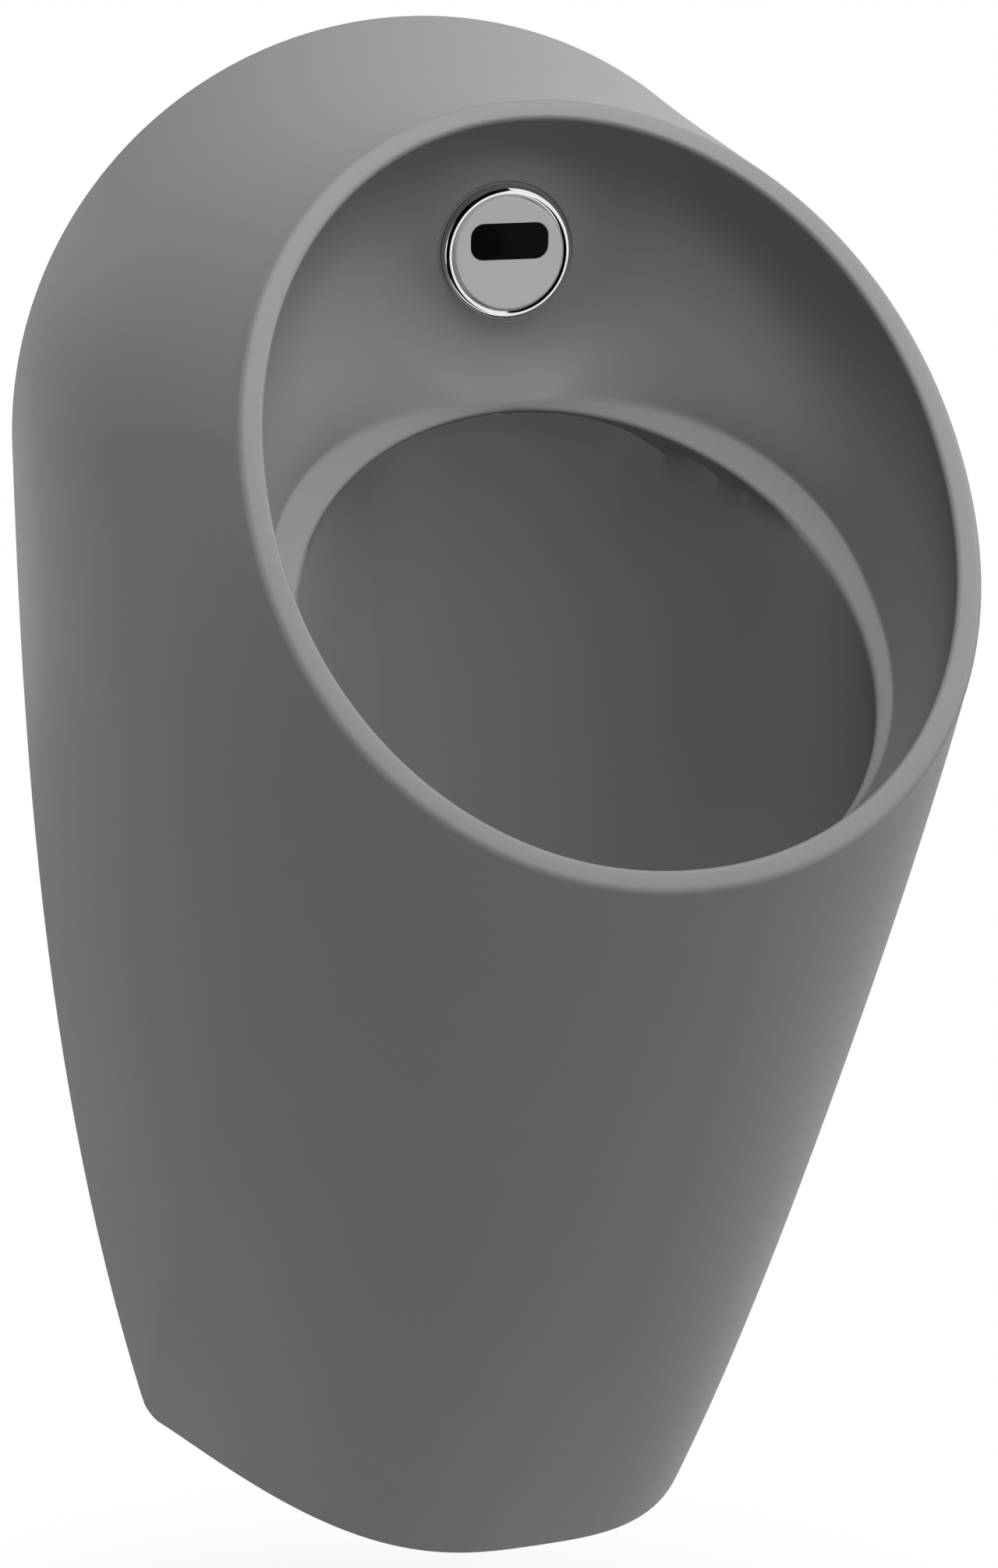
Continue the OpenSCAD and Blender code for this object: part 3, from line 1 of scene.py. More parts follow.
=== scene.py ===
# %% [markdown]
# # Dressing a wall-hung urinal
# The real thing is one hollow casting of fired clay under a matte grey glaze, with a round
# sensor control in its back wall and its valves, trap and fixings hidden behind it.
# The construction model comes in as a fixed frame. It could be rebuilt here by eye, but every
# piece has to stay at its true size, so the frame is loaded and only its looks are made.
# %% Load the frame
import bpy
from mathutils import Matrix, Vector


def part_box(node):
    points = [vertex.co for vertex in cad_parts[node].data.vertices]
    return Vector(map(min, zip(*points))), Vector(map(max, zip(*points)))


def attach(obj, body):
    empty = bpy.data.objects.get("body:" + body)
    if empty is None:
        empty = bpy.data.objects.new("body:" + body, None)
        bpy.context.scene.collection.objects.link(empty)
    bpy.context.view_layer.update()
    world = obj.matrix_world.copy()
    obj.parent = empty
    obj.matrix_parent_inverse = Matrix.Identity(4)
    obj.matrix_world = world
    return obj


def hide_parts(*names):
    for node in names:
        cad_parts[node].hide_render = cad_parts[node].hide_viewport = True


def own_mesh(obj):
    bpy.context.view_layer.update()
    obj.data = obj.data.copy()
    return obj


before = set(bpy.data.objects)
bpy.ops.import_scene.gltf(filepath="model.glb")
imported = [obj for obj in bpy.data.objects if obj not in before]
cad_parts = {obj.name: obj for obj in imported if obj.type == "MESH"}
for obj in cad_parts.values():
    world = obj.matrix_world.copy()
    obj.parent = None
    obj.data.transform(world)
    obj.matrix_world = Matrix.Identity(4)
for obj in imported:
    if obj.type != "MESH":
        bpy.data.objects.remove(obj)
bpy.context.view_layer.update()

import math

import bmesh
import bpy
import numpy as np
from mathutils import Matrix, Vector

# %% [markdown]
# The drawings give heights above the foot and millimetres, while the frame counts metres from
# the two hanger bolts. One small function turns one into the other, so that every size below
# can be read straight off a drawing.
# %% Sizes and places
BOLT_Z = 430.0  # height of the hanger bolts, the zero of the frame
SENSOR_Z, SENSOR_LEAN = 562, 3
DRAIN_Y = -134


def place(x, y, z):
    """A point of the drawing as a point of the frame."""
    return Vector((x, y, z - BOLT_Z)) / 1000


def mm(length):
    """Millimetres as metres."""
    return length / 1000


def towards(azimuth, elevation):
    """The direction from the body to a place round it; azimuth 0 is straight in front."""
    a, e = math.radians(azimuth), math.radians(elevation)
    return Vector((math.sin(a) * math.cos(e), -math.cos(a) * math.cos(e), math.sin(e)))


lean = Matrix.Rotation(math.radians(90 + SENSOR_LEAN), 4, "X")
SENSOR = Matrix.Translation(place(0, -129.2, SENSOR_Z)) @ lean
DRAIN = (0, DRAIN_Y)
print("sensor at", [round(c, 4) for c in SENSOR.translation])

# %% [markdown]
# An operator works on everything that is selected, and the frame arrives selected. So each
# step starts with nothing selected, and then picks its one object. Finished pieces have their
# place written into the mesh, as the pieces of the frame do.
# %% Selecting one thing at a time
SMOOTH_BELOW = 32  # degrees between two faces that are shaded as one surface


def only(piece):
    """Makes piece the one selected and active object."""
    if bpy.context.mode != "OBJECT":
        bpy.ops.object.mode_set(mode="OBJECT")
    bpy.ops.object.select_all(action="DESELECT")
    piece.select_set(True)
    bpy.context.view_layer.objects.active = piece
    return piece


def settled(piece, name):
    """Writes the piece's place into its mesh, names it and returns it."""
    only(piece)
    bpy.ops.object.transform_apply(location=True, rotation=True, scale=True)
    piece.name = piece.data.name = name
    return piece


def apply_modifier(piece, kind, **settings):
    """Adds a modifier with these settings and applies it."""
    only(piece)
    step = piece.modifiers.new(kind.title(), kind)
    for setting, value in settings.items():
        setattr(step, setting, value)
    bpy.ops.object.modifier_apply(modifier=step.name)
    return piece


def cut(piece, tool, operation="DIFFERENCE"):
    """Cuts the tool's shape out of the piece, or joins it on, and removes the tool."""
    apply_modifier(piece, "BOOLEAN", operation=operation, object=tool, solver="MANIFOLD")
    bpy.data.objects.remove(tool)
    return piece


def finished(piece, node):
    """Shades a piece, lets it stand for a node and ride with the body."""
    only(piece)
    bpy.ops.object.shade_smooth_by_angle(angle=math.radians(SMOOTH_BELOW))
    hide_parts(node)
    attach(piece, "urinal")
    return piece


bpy.ops.object.select_all(action="DESELECT")
print(len(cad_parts), "pieces in the frame")

# %% [markdown]
# ## The curves of the ceramic body
# A caster's mould follows a few master curves: the edge on the wall, the oval rim that leans
# back, the ledge inside and the drain. The surface is stretched between them. A coarse mesh
# with a subdivision modifier could follow them roughly, but it would shrink at the rim, so
# each row of points is worked out from the curves themselves.
# %% Directions round the body
STEPS = 240
turn = 90 - 360 * np.arange(STEPS) / STEPS
cos, sin = np.cos(np.radians(turn)), np.sin(np.radians(turn))
behind = sin > 0


def power(value, exponent):
    """A power that keeps the sign."""
    return np.sign(value) * np.abs(value) ** exponent


def mix(a, b, share):
    """From a, where the share is 0, to b, where it is 1."""
    return a * (1 - share) + b * share


def smooth(share):
    """The same share, eased at both ends."""
    share = np.clip(share, 0, 1)
    return share * share * (3 - 2 * share)


def row(x, y, z):
    """One row of points round the body."""
    return np.stack(np.broadcast_arrays(x + 0 * cos, y, z), axis=-1).astype(float)


def column(values):
    """Numbers round the body, ready to multiply a row."""
    return (values + 0 * cos)[:, None]


# %% The rim and the edge on the wall
RIM_LEAN, RIM_ROUNDNESS, RIM_EGG = math.radians(37.4), 2.07, 0.025
RIM_HALF_WIDTH, RIM_HALF_LENGTH = 141.7, 166.4
RIM_Y, RIM_Z = -268.2, 492.7
ARCH_WIDTH, ARCH_RISE, ARCH_Z = 184.8, 180.5, 469.5
FOOT_WIDTH, FOOT_REACH, FOOT_CORNER = 137.3, 178, 8
FOOT_WIDE, FOOT_DEEP = 2.99, 0.817  # exponents of the foot's outline
SIDE_TAPER = 2.565
# Directions, in degrees above the middle, where one stretch of the edge ends
ARCH_END, SIDE_END, CORNER_END = 8.8, -28.9, -36.5


def rim(grow, lift):
    """The rim's oval, grown outwards and lifted off its plane."""
    c, s = power(cos, 2 / RIM_ROUNDNESS), power(sin, 2 / RIM_ROUNDNESS)
    half = (RIM_HALF_LENGTH + grow) * s
    return row(
        (RIM_HALF_WIDTH + grow) * c * (1 - RIM_EGG * s),
        RIM_Y + half * math.sin(RIM_LEAN) - lift * math.cos(RIM_LEAN),
        RIM_Z + half * math.cos(RIM_LEAN) + lift * math.sin(RIM_LEAN))


def side_half_width(z):
    """The side draws in from the arch to the foot."""
    return ARCH_WIDTH - (ARCH_WIDTH - FOOT_WIDTH) * ((ARCH_Z - z) / ARCH_Z) ** SIDE_TAPER


def part_way(a, start, end):
    """How far direction a has come from start, 0, to end, 1."""
    return np.clip((start - a) / (start - end), 0, 1)


def edge(inset):
    """The edge on the wall and round the foot: arch, side, corner, foot."""
    a = np.where(turn < -90, -180 - turn, turn)
    q = np.radians(90 * part_way(a, 90, ARCH_END) ** 0.98)
    arch = row((ARCH_WIDTH - inset) * np.sin(q), 0, ARCH_Z + (ARCH_RISE - inset) * np.cos(q))
    z = mix(ARCH_Z, FOOT_CORNER, part_way(a, ARCH_END, SIDE_END) ** 0.91)
    side = row(side_half_width(z) - inset, 0, z)
    q = np.radians(90 * part_way(a, SIDE_END, CORNER_END))
    y, z = FOOT_CORNER * (1 - np.cos(q)), FOOT_CORNER * (1 - np.sin(q))
    narrow = (1 - (y / FOOT_REACH) ** FOOT_DEEP) ** (1 / FOOT_WIDE)
    corner = row(side_half_width(z) * narrow - inset, -y, z)
    start = math.asin((FOOT_CORNER / FOOT_REACH) ** (FOOT_DEEP / 2))
    q = mix(start, math.pi / 2, part_way(a, CORNER_END, -90) ** 0.83)
    foot = row(
        (FOOT_WIDTH - inset) * np.clip(np.cos(q), 0, 1) ** (2 / FOOT_WIDE),
        -(FOOT_REACH - inset) * np.sin(q) ** (2 / FOOT_DEEP), 0)
    pick = column(a)
    below = np.where(pick >= CORNER_END, corner, foot)
    half = np.where(pick >= ARCH_END, arch, np.where(pick >= SIDE_END, side, below))
    return half * np.where(column(turn) < -90, [-1, 1, 1], [1, 1, 1])


print("edge spans", np.ptp(edge(0)[:, 0]).round(1), "by", np.ptp(edge(0)[:, 2]).round(1), "mm")

# %% The outer skin
LIP_OUTER, LIP_INNER, RIM_BAND = 3.4, 2, 6.9
BOW_SIDE, BOW_TOP, BOW_FRONT = 9.6, -4.6, 14.1
# The way it bows: off the wall all round, and forwards and down below the middle
BOW_OFF_WALL, BOW_FORWARDS, BOW_DOWN = 0.15, 0.733, 0.469


def skin(share):
    """Between the wall edge, share 0, and the rim, share 1, bowed outwards."""
    y = np.where(behind, 0, BOW_FORWARDS * sin) - BOW_OFF_WALL
    way = row(cos, y, np.where(behind, sin, BOW_DOWN * sin))
    way /= np.linalg.norm(way, axis=1, keepdims=True)
    bow = mix(BOW_SIDE, np.where(behind, BOW_TOP, BOW_FRONT), sin * sin)
    straight = mix(edge(0), rim(LIP_OUTER, -LIP_OUTER), share)
    return straight + way * column(bow * 4 * share * (1 - share))


# %% The upper bowl, with a flat pad round the sensor
LEDGE_LEAN = math.radians(50)
LEDGE_Y, LEDGE_Z = -234.4, 426
LEDGE_HALF_WIDTH, LEDGE_BACK, LEDGE_FRONT = 124.1, 120.5, 127
LEDGE_BAND, LEDGE_DROP = 8.1, 8.1
SQUARE_BACK, SQUARE_FRONT = 2.33, 2.1  # exponents of the outer edge; 2 would be an ellipse
PAD_Y, PAD_RADIUS, PAD_FADE = -129.6, 29, 34
HOLLOW_DEPTH, HOLLOW_RISE, DENT_DEPTH, NOSE_DEPTH = 44.5, 34, 34, 26
SIDE_HOLLOW_HIGH, SIDE_HOLLOW_LOW, NOSE_SHARPNESS = 8, 3, 9


def ledge(across):
    """The ledge, from its outer edge, 0, to its inner edge, 1."""
    exponent = mix(np.where(behind, SQUARE_BACK, SQUARE_FRONT), 2, across)
    c, s = power(cos, 2 / exponent), power(sin, 2 / exponent)
    inwards = LEDGE_BAND * across
    half = s * np.where(behind, LEDGE_BACK + 0.4 * inwards, LEDGE_FRONT - 0.7 * inwards)
    return row(
        (LEDGE_HALF_WIDTH - inwards) * c,
        LEDGE_Y - 0.55 * inwards + half * math.sin(LEDGE_LEAN),
        LEDGE_Z - LEDGE_DROP * across + half * math.cos(LEDGE_LEAN))


def padded(points):
    """Flattens the wall round the sensor and fades back into its curve."""
    x, y, z = points.T
    away = np.hypot(x, z - SENSOR_Z)
    flat = PAD_Y - (z - SENSOR_Z) * math.tan(math.radians(SENSOR_LEAN))
    return np.stack([x, mix(flat, y, smooth((away - PAD_RADIUS) / PAD_FADE)), z], axis=-1)


def upper(share):
    """From under the rim, share 0, down to the ledge, share 1, along a cubic curve."""
    s = np.where(behind, sin, 0)
    dent = 4 * s * s * (1 - s * s)
    top, low = rim(-RIM_BAND, -LIP_INNER), ledge(0)
    hollow = row(SIDE_HOLLOW_HIGH * cos, HOLLOW_DEPTH * s * s + DENT_DEPTH * dent,
                 HOLLOW_RISE * s * s)
    bulge = row(SIDE_HOLLOW_LOW * cos, NOSE_DEPTH * s**NOSE_SHARPNESS + 2 * dent, 0)
    first, second = mix(top, low, 1 / 3) + hollow, mix(top, low, 2 / 3) + bulge
    k = 1 - share
    return padded(k**3 * top + 3 * k * k * share * first
                  + 3 * k * share**2 * second + share**3 * low)


# %% The lower bowl
nose = smooth((sin - 0.4) / 0.6)
THROAT_DEPTH = 41
FUNNEL_RADIUS, FUNNEL_Z, FUNNEL_BELLY = 30.6, 215, 1.15


def throat(part):
    """Under the ledge's inner edge, deeper below the nose at the back."""
    return ledge(1) + row(0, nose * THROAT_DEPTH * part, -mix(2, 4, nose) * part)


def drain_ring(radius, z):
    """A level circle round the drain's axis."""
    return row(radius * cos, DRAIN_Y + radius * sin, z)


def lower(angle):
    """The funnel, from the throat at 0 degrees to the drain at 90."""
    q = math.radians(angle)
    top, low = throat(1), drain_ring(FUNNEL_RADIUS, FUNNEL_Z)
    inwards = 1 - max(0, math.cos(q)) ** FUNNEL_BELLY
    return mix(top, low, np.array([inwards, inwards, math.sin(q)]))


# %% [markdown]
# On the real bowl the ledge has no sharp edge: its outer corner is tight, its inner edge is
# wiped round with a sponge, and both grow softer at the nose in the middle of the back. A bevel
# modifier keeps one width all round, so here each corner is a short curve between a point
# before the corner and a point after it, and the two distances change round the bowl.
# %% Walking along the sections
def walked(rows, distance):
    """The point at this distance, in mm, from the start of each section."""
    rows = np.array(rows)
    legs = np.linalg.norm(np.diff(rows, axis=0), axis=2)
    along = np.vstack([np.zeros(STEPS), np.cumsum(legs, axis=0)])
    distance = distance + 0 * cos
    return np.array([
        [np.interp(distance[i], along[:, i], rows[:, i, axis]) for axis in range(3)]
        for i in range(STEPS)])


def length(rows):
    """The length of each section, in mm."""
    return np.linalg.norm(np.diff(np.array(rows), axis=0), axis=2).sum(axis=0)


def corner(before, middle, after, count):
    """Rows of a curve that leaves one side of a corner and joins the other."""
    return [(1 - t)**2 * before + 2 * t * (1 - t) * middle + t * t * after
            for t in np.linspace(0, 1, count)]


# %% The ledge with its two rounded corners
outer_edge, inner_edge = ledge(0), ledge(1)
band = np.linalg.norm(inner_edge - outer_edge, axis=1)
outer_round, inner_round = 1.2 + 1.2 * nose, 3.2 + 0.4 * nose
up_the_wall = [upper(share) for share in np.linspace(1, 0.88, 25)]
down_the_funnel = [throat(part) for part in np.linspace(0, 1, 15)]
down_the_funnel += [lower(angle) for angle in np.linspace(0.5, 12, 24)]
wall_part = [walked(up_the_wall, mix(length(up_the_wall), outer_round, t))
             for t in (0, 0.3, 0.6, 0.85)]
on_band = [mix(outer_edge, inner_edge, column(at / band))
           for at in (outer_round, band - inner_round)]
zone = wall_part + corner(walked(up_the_wall, outer_round), outer_edge, on_band[0], 7)
zone += [mix(*on_band, share) for share in (0.25, 0.5, 0.75)]
zone += corner(on_band[1], inner_edge, walked(down_the_funnel, inner_round), 10)
zone += [walked(down_the_funnel, mix(inner_round, length(down_the_funnel), t))
         for t in np.linspace(0.12, 1, 8)]
print("ledge zone of", len(zone), "rows, band", np.round([band.min(), band.max()], 1), "mm")

# %% [markdown]
# The hidden side is the same surface moved in by the thickness of the fired wall, 9 mm. A
# solidify modifier would cross itself in the tight ledge, so the hidden side skips the ledge
# and takes its rows from the open parts of the bowl and the skin.
# %% The hidden side
WALL, EDGE_WIDTH = 9.0, 11
NECK_RADIUS, NECK_BORE = 38, 28
NECK_LOW, NECK_HIGH = 182, 206


def moved(sections, distance=WALL):
    """Each row moved along the surface's own normal."""
    rows = np.array(sections)
    along = np.gradient(rows, axis=0)
    around = np.roll(rows, -1, axis=1) - np.roll(rows, 1, axis=1)
    normal = np.cross(along, around)
    normal /= np.linalg.norm(normal, axis=2, keepdims=True)
    return list(rows + distance * normal)


front = [skin(k / 40) for k in range(41)]
front += [rim(LIP_OUTER * math.cos(q), -LIP_OUTER * (1 - math.sin(q)))
          for q in np.radians(np.arange(15, 91, 15))]
front += [rim(-RIM_BAND + LIP_INNER * (1 - math.sin(q)), -LIP_INNER * (1 - math.cos(q)))
          for q in np.radians(np.arange(0, 91, 18))]
front += [upper(share) for share in np.linspace(0.02, 0.86, 43)]
front += zone + [lower(angle) for angle in np.linspace(15, 90, 26)]
hidden = moved([lower(angle) for angle in (72, 57.6, 37.8, 18, 0)]
               + [upper(share) for share in (0.93, 0.8, 0.65, 0.5, 0.34)])
inside = moved([skin(share) for share in (0.84, 0.66, 0.48, 0.3, 0.14)])
neck = [drain_ring(NECK_BORE, NECK_LOW), drain_ring(NECK_RADIUS, NECK_LOW),
        drain_ring(NECK_RADIUS, NECK_HIGH)]
shell = front + neck + hidden + inside + [edge(EDGE_WIDTH)]
print("the shell has", len(shell), "rows of", STEPS, "points")

# %% [markdown]
# ## Casting the shell
# By hand, such a shell grows from one ring of edges that is extruded again and again, each
# new ring being put where the curve says. A grid bent into place would do too, but extruding
# keeps the rings in order and leaves one open gap, which the last step bridges. Each point of
# the first ring carries a number, and every extrusion copies it, so a point knows its place.
# %% Extrude ring after ring
bpy.ops.mesh.primitive_circle_add(vertices=STEPS, radius=mm(180), fill_type="NOTHING")
body = bpy.context.object
bpy.ops.object.mode_set(mode="EDIT")
mesh = bmesh.from_edit_mesh(body.data)
number = mesh.verts.layers.int.new("number")
mesh.verts.ensure_lookup_table()
for i, point in enumerate(mesh.verts):
    point[number] = i
FOOT = np.array([0, 0, BOLT_Z])


def put_ring(points):
    """Moves the selected ring of points to where the curve says."""
    mesh = bmesh.from_edit_mesh(body.data)
    number = mesh.verts.layers.int["number"]
    for point in mesh.verts:
        if point.select:
            point.co = (points[point[number]] - FOOT) / 1000
    bmesh.update_edit_mesh(body.data)


bpy.ops.mesh.select_all(action="SELECT")
put_ring(shell[0])
for points in shell[1:]:
    bpy.ops.mesh.extrude_region_move()
    put_ring(points)
print(len(shell), "rings extruded")

# %% Close the last gap
def bridge_open_ends(piece):
    """Joins the two open rings of the piece that is being edited."""
    bpy.ops.mesh.select_mode(type="EDGE")
    bpy.ops.mesh.select_all(action="DESELECT")
    mesh = bmesh.from_edit_mesh(piece.data)
    for line in mesh.edges:
        line.select = line.is_boundary
    bmesh.update_edit_mesh(piece.data)
    bpy.ops.mesh.bridge_edge_loops()


def leave_edit_mode():
    """Turns all faces outwards and goes back to object mode."""
    bpy.ops.mesh.select_all(action="SELECT")
    bpy.ops.mesh.normals_make_consistent(inside=False)
    bpy.ops.object.mode_set(mode="OBJECT")


bridge_open_ends(body)
leave_edit_mode()
body = settled(body, "glazed_body")
print("body has", len(body.data.polygons), "faces")

# %% [markdown]
# The lugs, the neck and the boss round the sensor are thick clay that is stuck on before
# firing. They could be pulled out of the shell face by face, but plain blocks and cylinders
# that are joined by a boolean are quicker and stay at their exact places.
# %% Helpers for stuck-on clay and for bores
def cylinder(radius, z0, z1, at=(0, 0), sides=128, axis=None):
    """An upright cylinder between two heights, or one about another axis."""
    bpy.ops.mesh.primitive_cylinder_add(vertices=sides, radius=mm(radius), depth=mm(z1 - z0))
    tool = bpy.context.object
    middle = (z0 + z1) / 2
    if axis is None:
        tool.location = place(*at, middle)
    else:
        tool.matrix_world = axis @ Matrix.Translation((0, 0, mm(middle)))
    return settled(tool, "tool")


def block(low, high, rounding=0):
    """A box between two corners, its edges rounded."""
    a, b = place(*low), place(*high)
    bpy.ops.mesh.primitive_cube_add(size=1, location=(a + b) / 2)
    tool = bpy.context.object
    tool.dimensions = b - a
    tool = settled(tool, "tool")
    if rounding:
        bpy.ops.object.mode_set(mode="EDIT")
        bpy.ops.mesh.select_all(action="SELECT")
        bpy.ops.mesh.bevel(offset=mm(rounding), segments=3, affect="EDGES")
        bpy.ops.object.mode_set(mode="OBJECT")
    return tool


# %% Helpers for turned pieces
def arc(middle, radii, start, end, count):
    """Points of an ellipse between two angles, in degrees."""
    return [(middle[0] + radii[0] * math.cos(q), middle[1] + radii[1] * math.sin(q))
            for q in np.radians(np.linspace(start, end, count))]


def turned(profile, axis=None, at=(0, 0), sides=128, closing="ends", name="tool"):
    """A piece turned on a lathe: a circle is extruded from one (radius, height) to the next."""
    (radius, height), *rest = profile
    bpy.ops.mesh.primitive_circle_add(vertices=sides, radius=mm(radius), fill_type="NOTHING")
    piece = bpy.context.object
    bpy.ops.object.mode_set(mode="EDIT")
    bpy.ops.mesh.select_all(action="SELECT")
    bpy.ops.transform.translate(value=(0, 0, mm(height)))
    for wider, higher in rest:
        bpy.ops.mesh.extrude_region_move()
        bpy.ops.transform.resize(value=(wider / radius, wider / radius, 1))
        bpy.ops.transform.translate(value=(0, 0, mm(higher - height)))
        radius, height = wider, higher
    if closing == "ends":
        bpy.ops.mesh.select_all(action="SELECT")
        bpy.ops.mesh.fill_holes(sides=0)
    else:
        bridge_open_ends(piece)
    leave_edit_mode()
    piece.matrix_world = axis or Matrix.Translation(place(*at, 0))
    return settled(piece, name)


# %% Lugs, neck and boss
LUG_ROUNDING = 1.5


def side_block(side, x, y, z, rounding=0):
    """A box from x[0] to x[1] out to the left, side -1, or to the right, side 1."""
    x = sorted((side * x[0], side * x[1]))
    return block((x[0], y[0], z[0]), (x[1], y[1], z[1]), rounding)


for side in (-1, 1):
    upper_lug = side_block(side, (99, 180.3), (-39, -5), (456, 490), LUG_ROUNDING)
    cut(upper_lug, side_block(side, (98, 146), (-26.5, -21.5), (455, 470.5)))
    cut(body, upper_lug, "UNION")
    lower_lug = side_block(side, (95, 137), (-48, -8), (54, 66), LUG_ROUNDING)
    cut(lower_lug, cylinder(4, 53, 67, (side * 112, -29), 48))
    cut(body, lower_lug, "UNION")
cut(body, cylinder(40, 180, 210.5, DRAIN), "UNION")
cut(body, cylinder(30, -12, -0.8, axis=SENSOR), "UNION")
print("joined,", len(body.data.polygons), "faces")

# %% Bores and seats
RING_FINE = 192  # sides of the round pieces that the camera sees
SEAT_RADIUS, SEAT_DEPTH, SEAT_ROUNDING = 28.6, 1.0, 1.7
NOZZLE_AT = (0, -117)
# Each bore has a radius and runs between two heights, or between two points of the sensor's axis
DRAIN_BORES = ((30, 186, 216), (26, 179, 214))
SENSOR_BORES = ((31, -42, -12), (20, -13, 0))
NOZZLE_BORES = ((7, 488, 506), (9, 488, 496), (11, 505, 518))
for bore in DRAIN_BORES:
    cut(body, cylinder(*bore, DRAIN))
mouth = arc((SEAT_RADIUS + SEAT_ROUNDING, -SEAT_DEPTH), (SEAT_ROUNDING, SEAT_ROUNDING), 180, 90, 7)
mouth = [(SEAT_RADIUS, -SEAT_DEPTH - 0.5)] + mouth + [(30.4, 20)]
cut(body, turned(mouth, SENSOR, sides=RING_FINE))
for bore in SENSOR_BORES:
    cut(body, cylinder(*bore, axis=SENSOR))
for bore in NOZZLE_BORES:
    cut(body, cylinder(*bore, NOZZLE_AT, 64))

finished(body, "ceramic_body")
print("body finished with", len(body.data.polygons), "faces")

# %% [markdown]
# ## The sensor
# The bright ring is turned from brass and plated. A torus would be quicker, but the real ring
# is a low, flattened bead on a straight seat, with a gap to the disc. So its section is drawn
# as a lathe would cut it, and a circle is extruded along it.
# %% Bright ring
RING_BORE = 23.35
bead = arc((25.2, 3.3), (2.2, 1.3), 0, 145, 26)
section = [(27.4, 0)] + bead + [(RING_BORE, 3.9), (RING_BORE, 0)]
ring = turned(section, SENSOR, sides=RING_FINE, closing="ring", name="bright_ring")
finished(ring, "bezel_ring")
print("ring of", len(ring.data.polygons), "faces")

# %% [markdown]
# The disc is a shallow pressed cap with a rolled edge, and the window is a dark plate that
# fills a hole in it. The hole could be an n-gon drawn by hand, but a slightly larger copy of
# the window cuts it with the same gap all round.
# %% A helper for plates with round corners
def plate(width, height, round_by, low, high, up=5.2, softened=0, name="tool"):
    """A plate on the sensor's axes, its corners round and its front edge softened."""
    bpy.ops.mesh.primitive_cube_add(size=1)
    piece = bpy.context.object
    piece.dimensions = (mm(width), mm(height), mm(high - low))
    piece = settled(piece, name)
    top = mm(high - low) / 2
    bpy.ops.object.mode_set(mode="EDIT")
    for which, offset, segments in (("upright", round_by, 14), ("front", softened, 4)):
        if not offset:
            continue
        bpy.ops.mesh.select_mode(type="EDGE")
        bpy.ops.mesh.select_all(action="DESELECT")
        mesh = bmesh.from_edit_mesh(piece.data)
        for line in mesh.edges:
            heights = [point.co.z for point in line.verts]
            upright = abs(heights[0] - heights[1]) > top
            forward = {face.normal.z > 0.5 for face in line.link_faces}
            front = min(heights) > top * 0.9 and len(forward) == 2
            line.select = upright if which == "upright" else front
        bmesh.update_edit_mesh(piece.data)
        bpy.ops.mesh.bevel(offset=mm(offset), segments=segments, affect="EDGES")
    bpy.ops.object.mode_set(mode="OBJECT")
    piece.matrix_world = SENSOR @ Matrix.Translation((0, mm(up), mm((low + high) / 2)))
    return settled(piece, name)


# %% Disc and window
section = [(21.4, 4.2), (21.4, 1), (23, 1)] + arc((22.2, 5.2), (0.8, 0.8), 0, 90, 9)
disc = turned(section, SENSOR, sides=RING_FINE, name="sensor_disc")
cut(disc, plate(33.3, 15.1, 5.6, 3, 8))
finished(disc, "sensor_cover")
window = plate(33.1, 14.9, 5.5, 3.7, 6.05, softened=0.3, name="dark_window")
cut(window, plate(36.5, 18.3, 7.2, 3.2, 4.2), "UNION")
finished(window, "sensor_window")
print("disc and window placed")

# %% [markdown]
# The spray nozzle hangs under the nose of the ledge. Its head is domed, so that it stays out
# of sight from the front.
# %% Nozzle
dome = [(2, 493), (4.4, 493.05)] + arc((5.6, 495.6), (2.9, 2.5), -80, 0, 9)
shank = [(8.5, 496), (6.9, 496), (6.9, 510), (6.05, 510), (6.05, 506), (4.5, 506)]
inner = [(4.5, 494.5), (2, 494.5)]
nozzle = turned(dome + shank + inner, at=NOZZLE_AT, sides=64, closing="ring", name="nozzle")
finished(nozzle, "spray_nozzle")

# %% [markdown]
# The spring above the plunger is pressed together when the valve opens. A curve with a round
# bevel could be drawn along the coil, but the screw modifier sweeps a circle of wire straight
# into a mesh, whose two ends are then filled.
# %% Spring
WIRE, TURNS, PLUNGER_TRAVEL = 0.4, 5, 2.0
bottom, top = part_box("plunger_spring")
coil_radius = (top.x - bottom.x) / 2 - mm(WIRE)
rise = top.z - bottom.z - 2 * mm(WIRE)
middle = ((bottom.x + top.x) / 2, (bottom.y + top.y) / 2)
bpy.ops.mesh.primitive_circle_add(
    vertices=12, radius=mm(WIRE), rotation=(math.pi / 2, 0, 0), location=(coil_radius, 0, 0))
spring = settled(bpy.context.object, "tool")
apply_modifier(spring, "SCREW", angle=2 * math.pi, screw_offset=rise / TURNS, iterations=TURNS,
               steps=32, render_steps=32)
bpy.ops.object.mode_set(mode="EDIT")
bpy.ops.mesh.select_all(action="SELECT")
bpy.ops.mesh.fill_holes(sides=0)
leave_edit_mode()
spring.location = (*middle, bottom.z + mm(WIRE))
finished(settled(spring, "coil_spring"), "plunger_spring")
1 - mm(PLUNGER_TRAVEL) / (top.z - bottom.z)
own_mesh(spring)
print("spring of", len(spring.data.polygons), "faces")

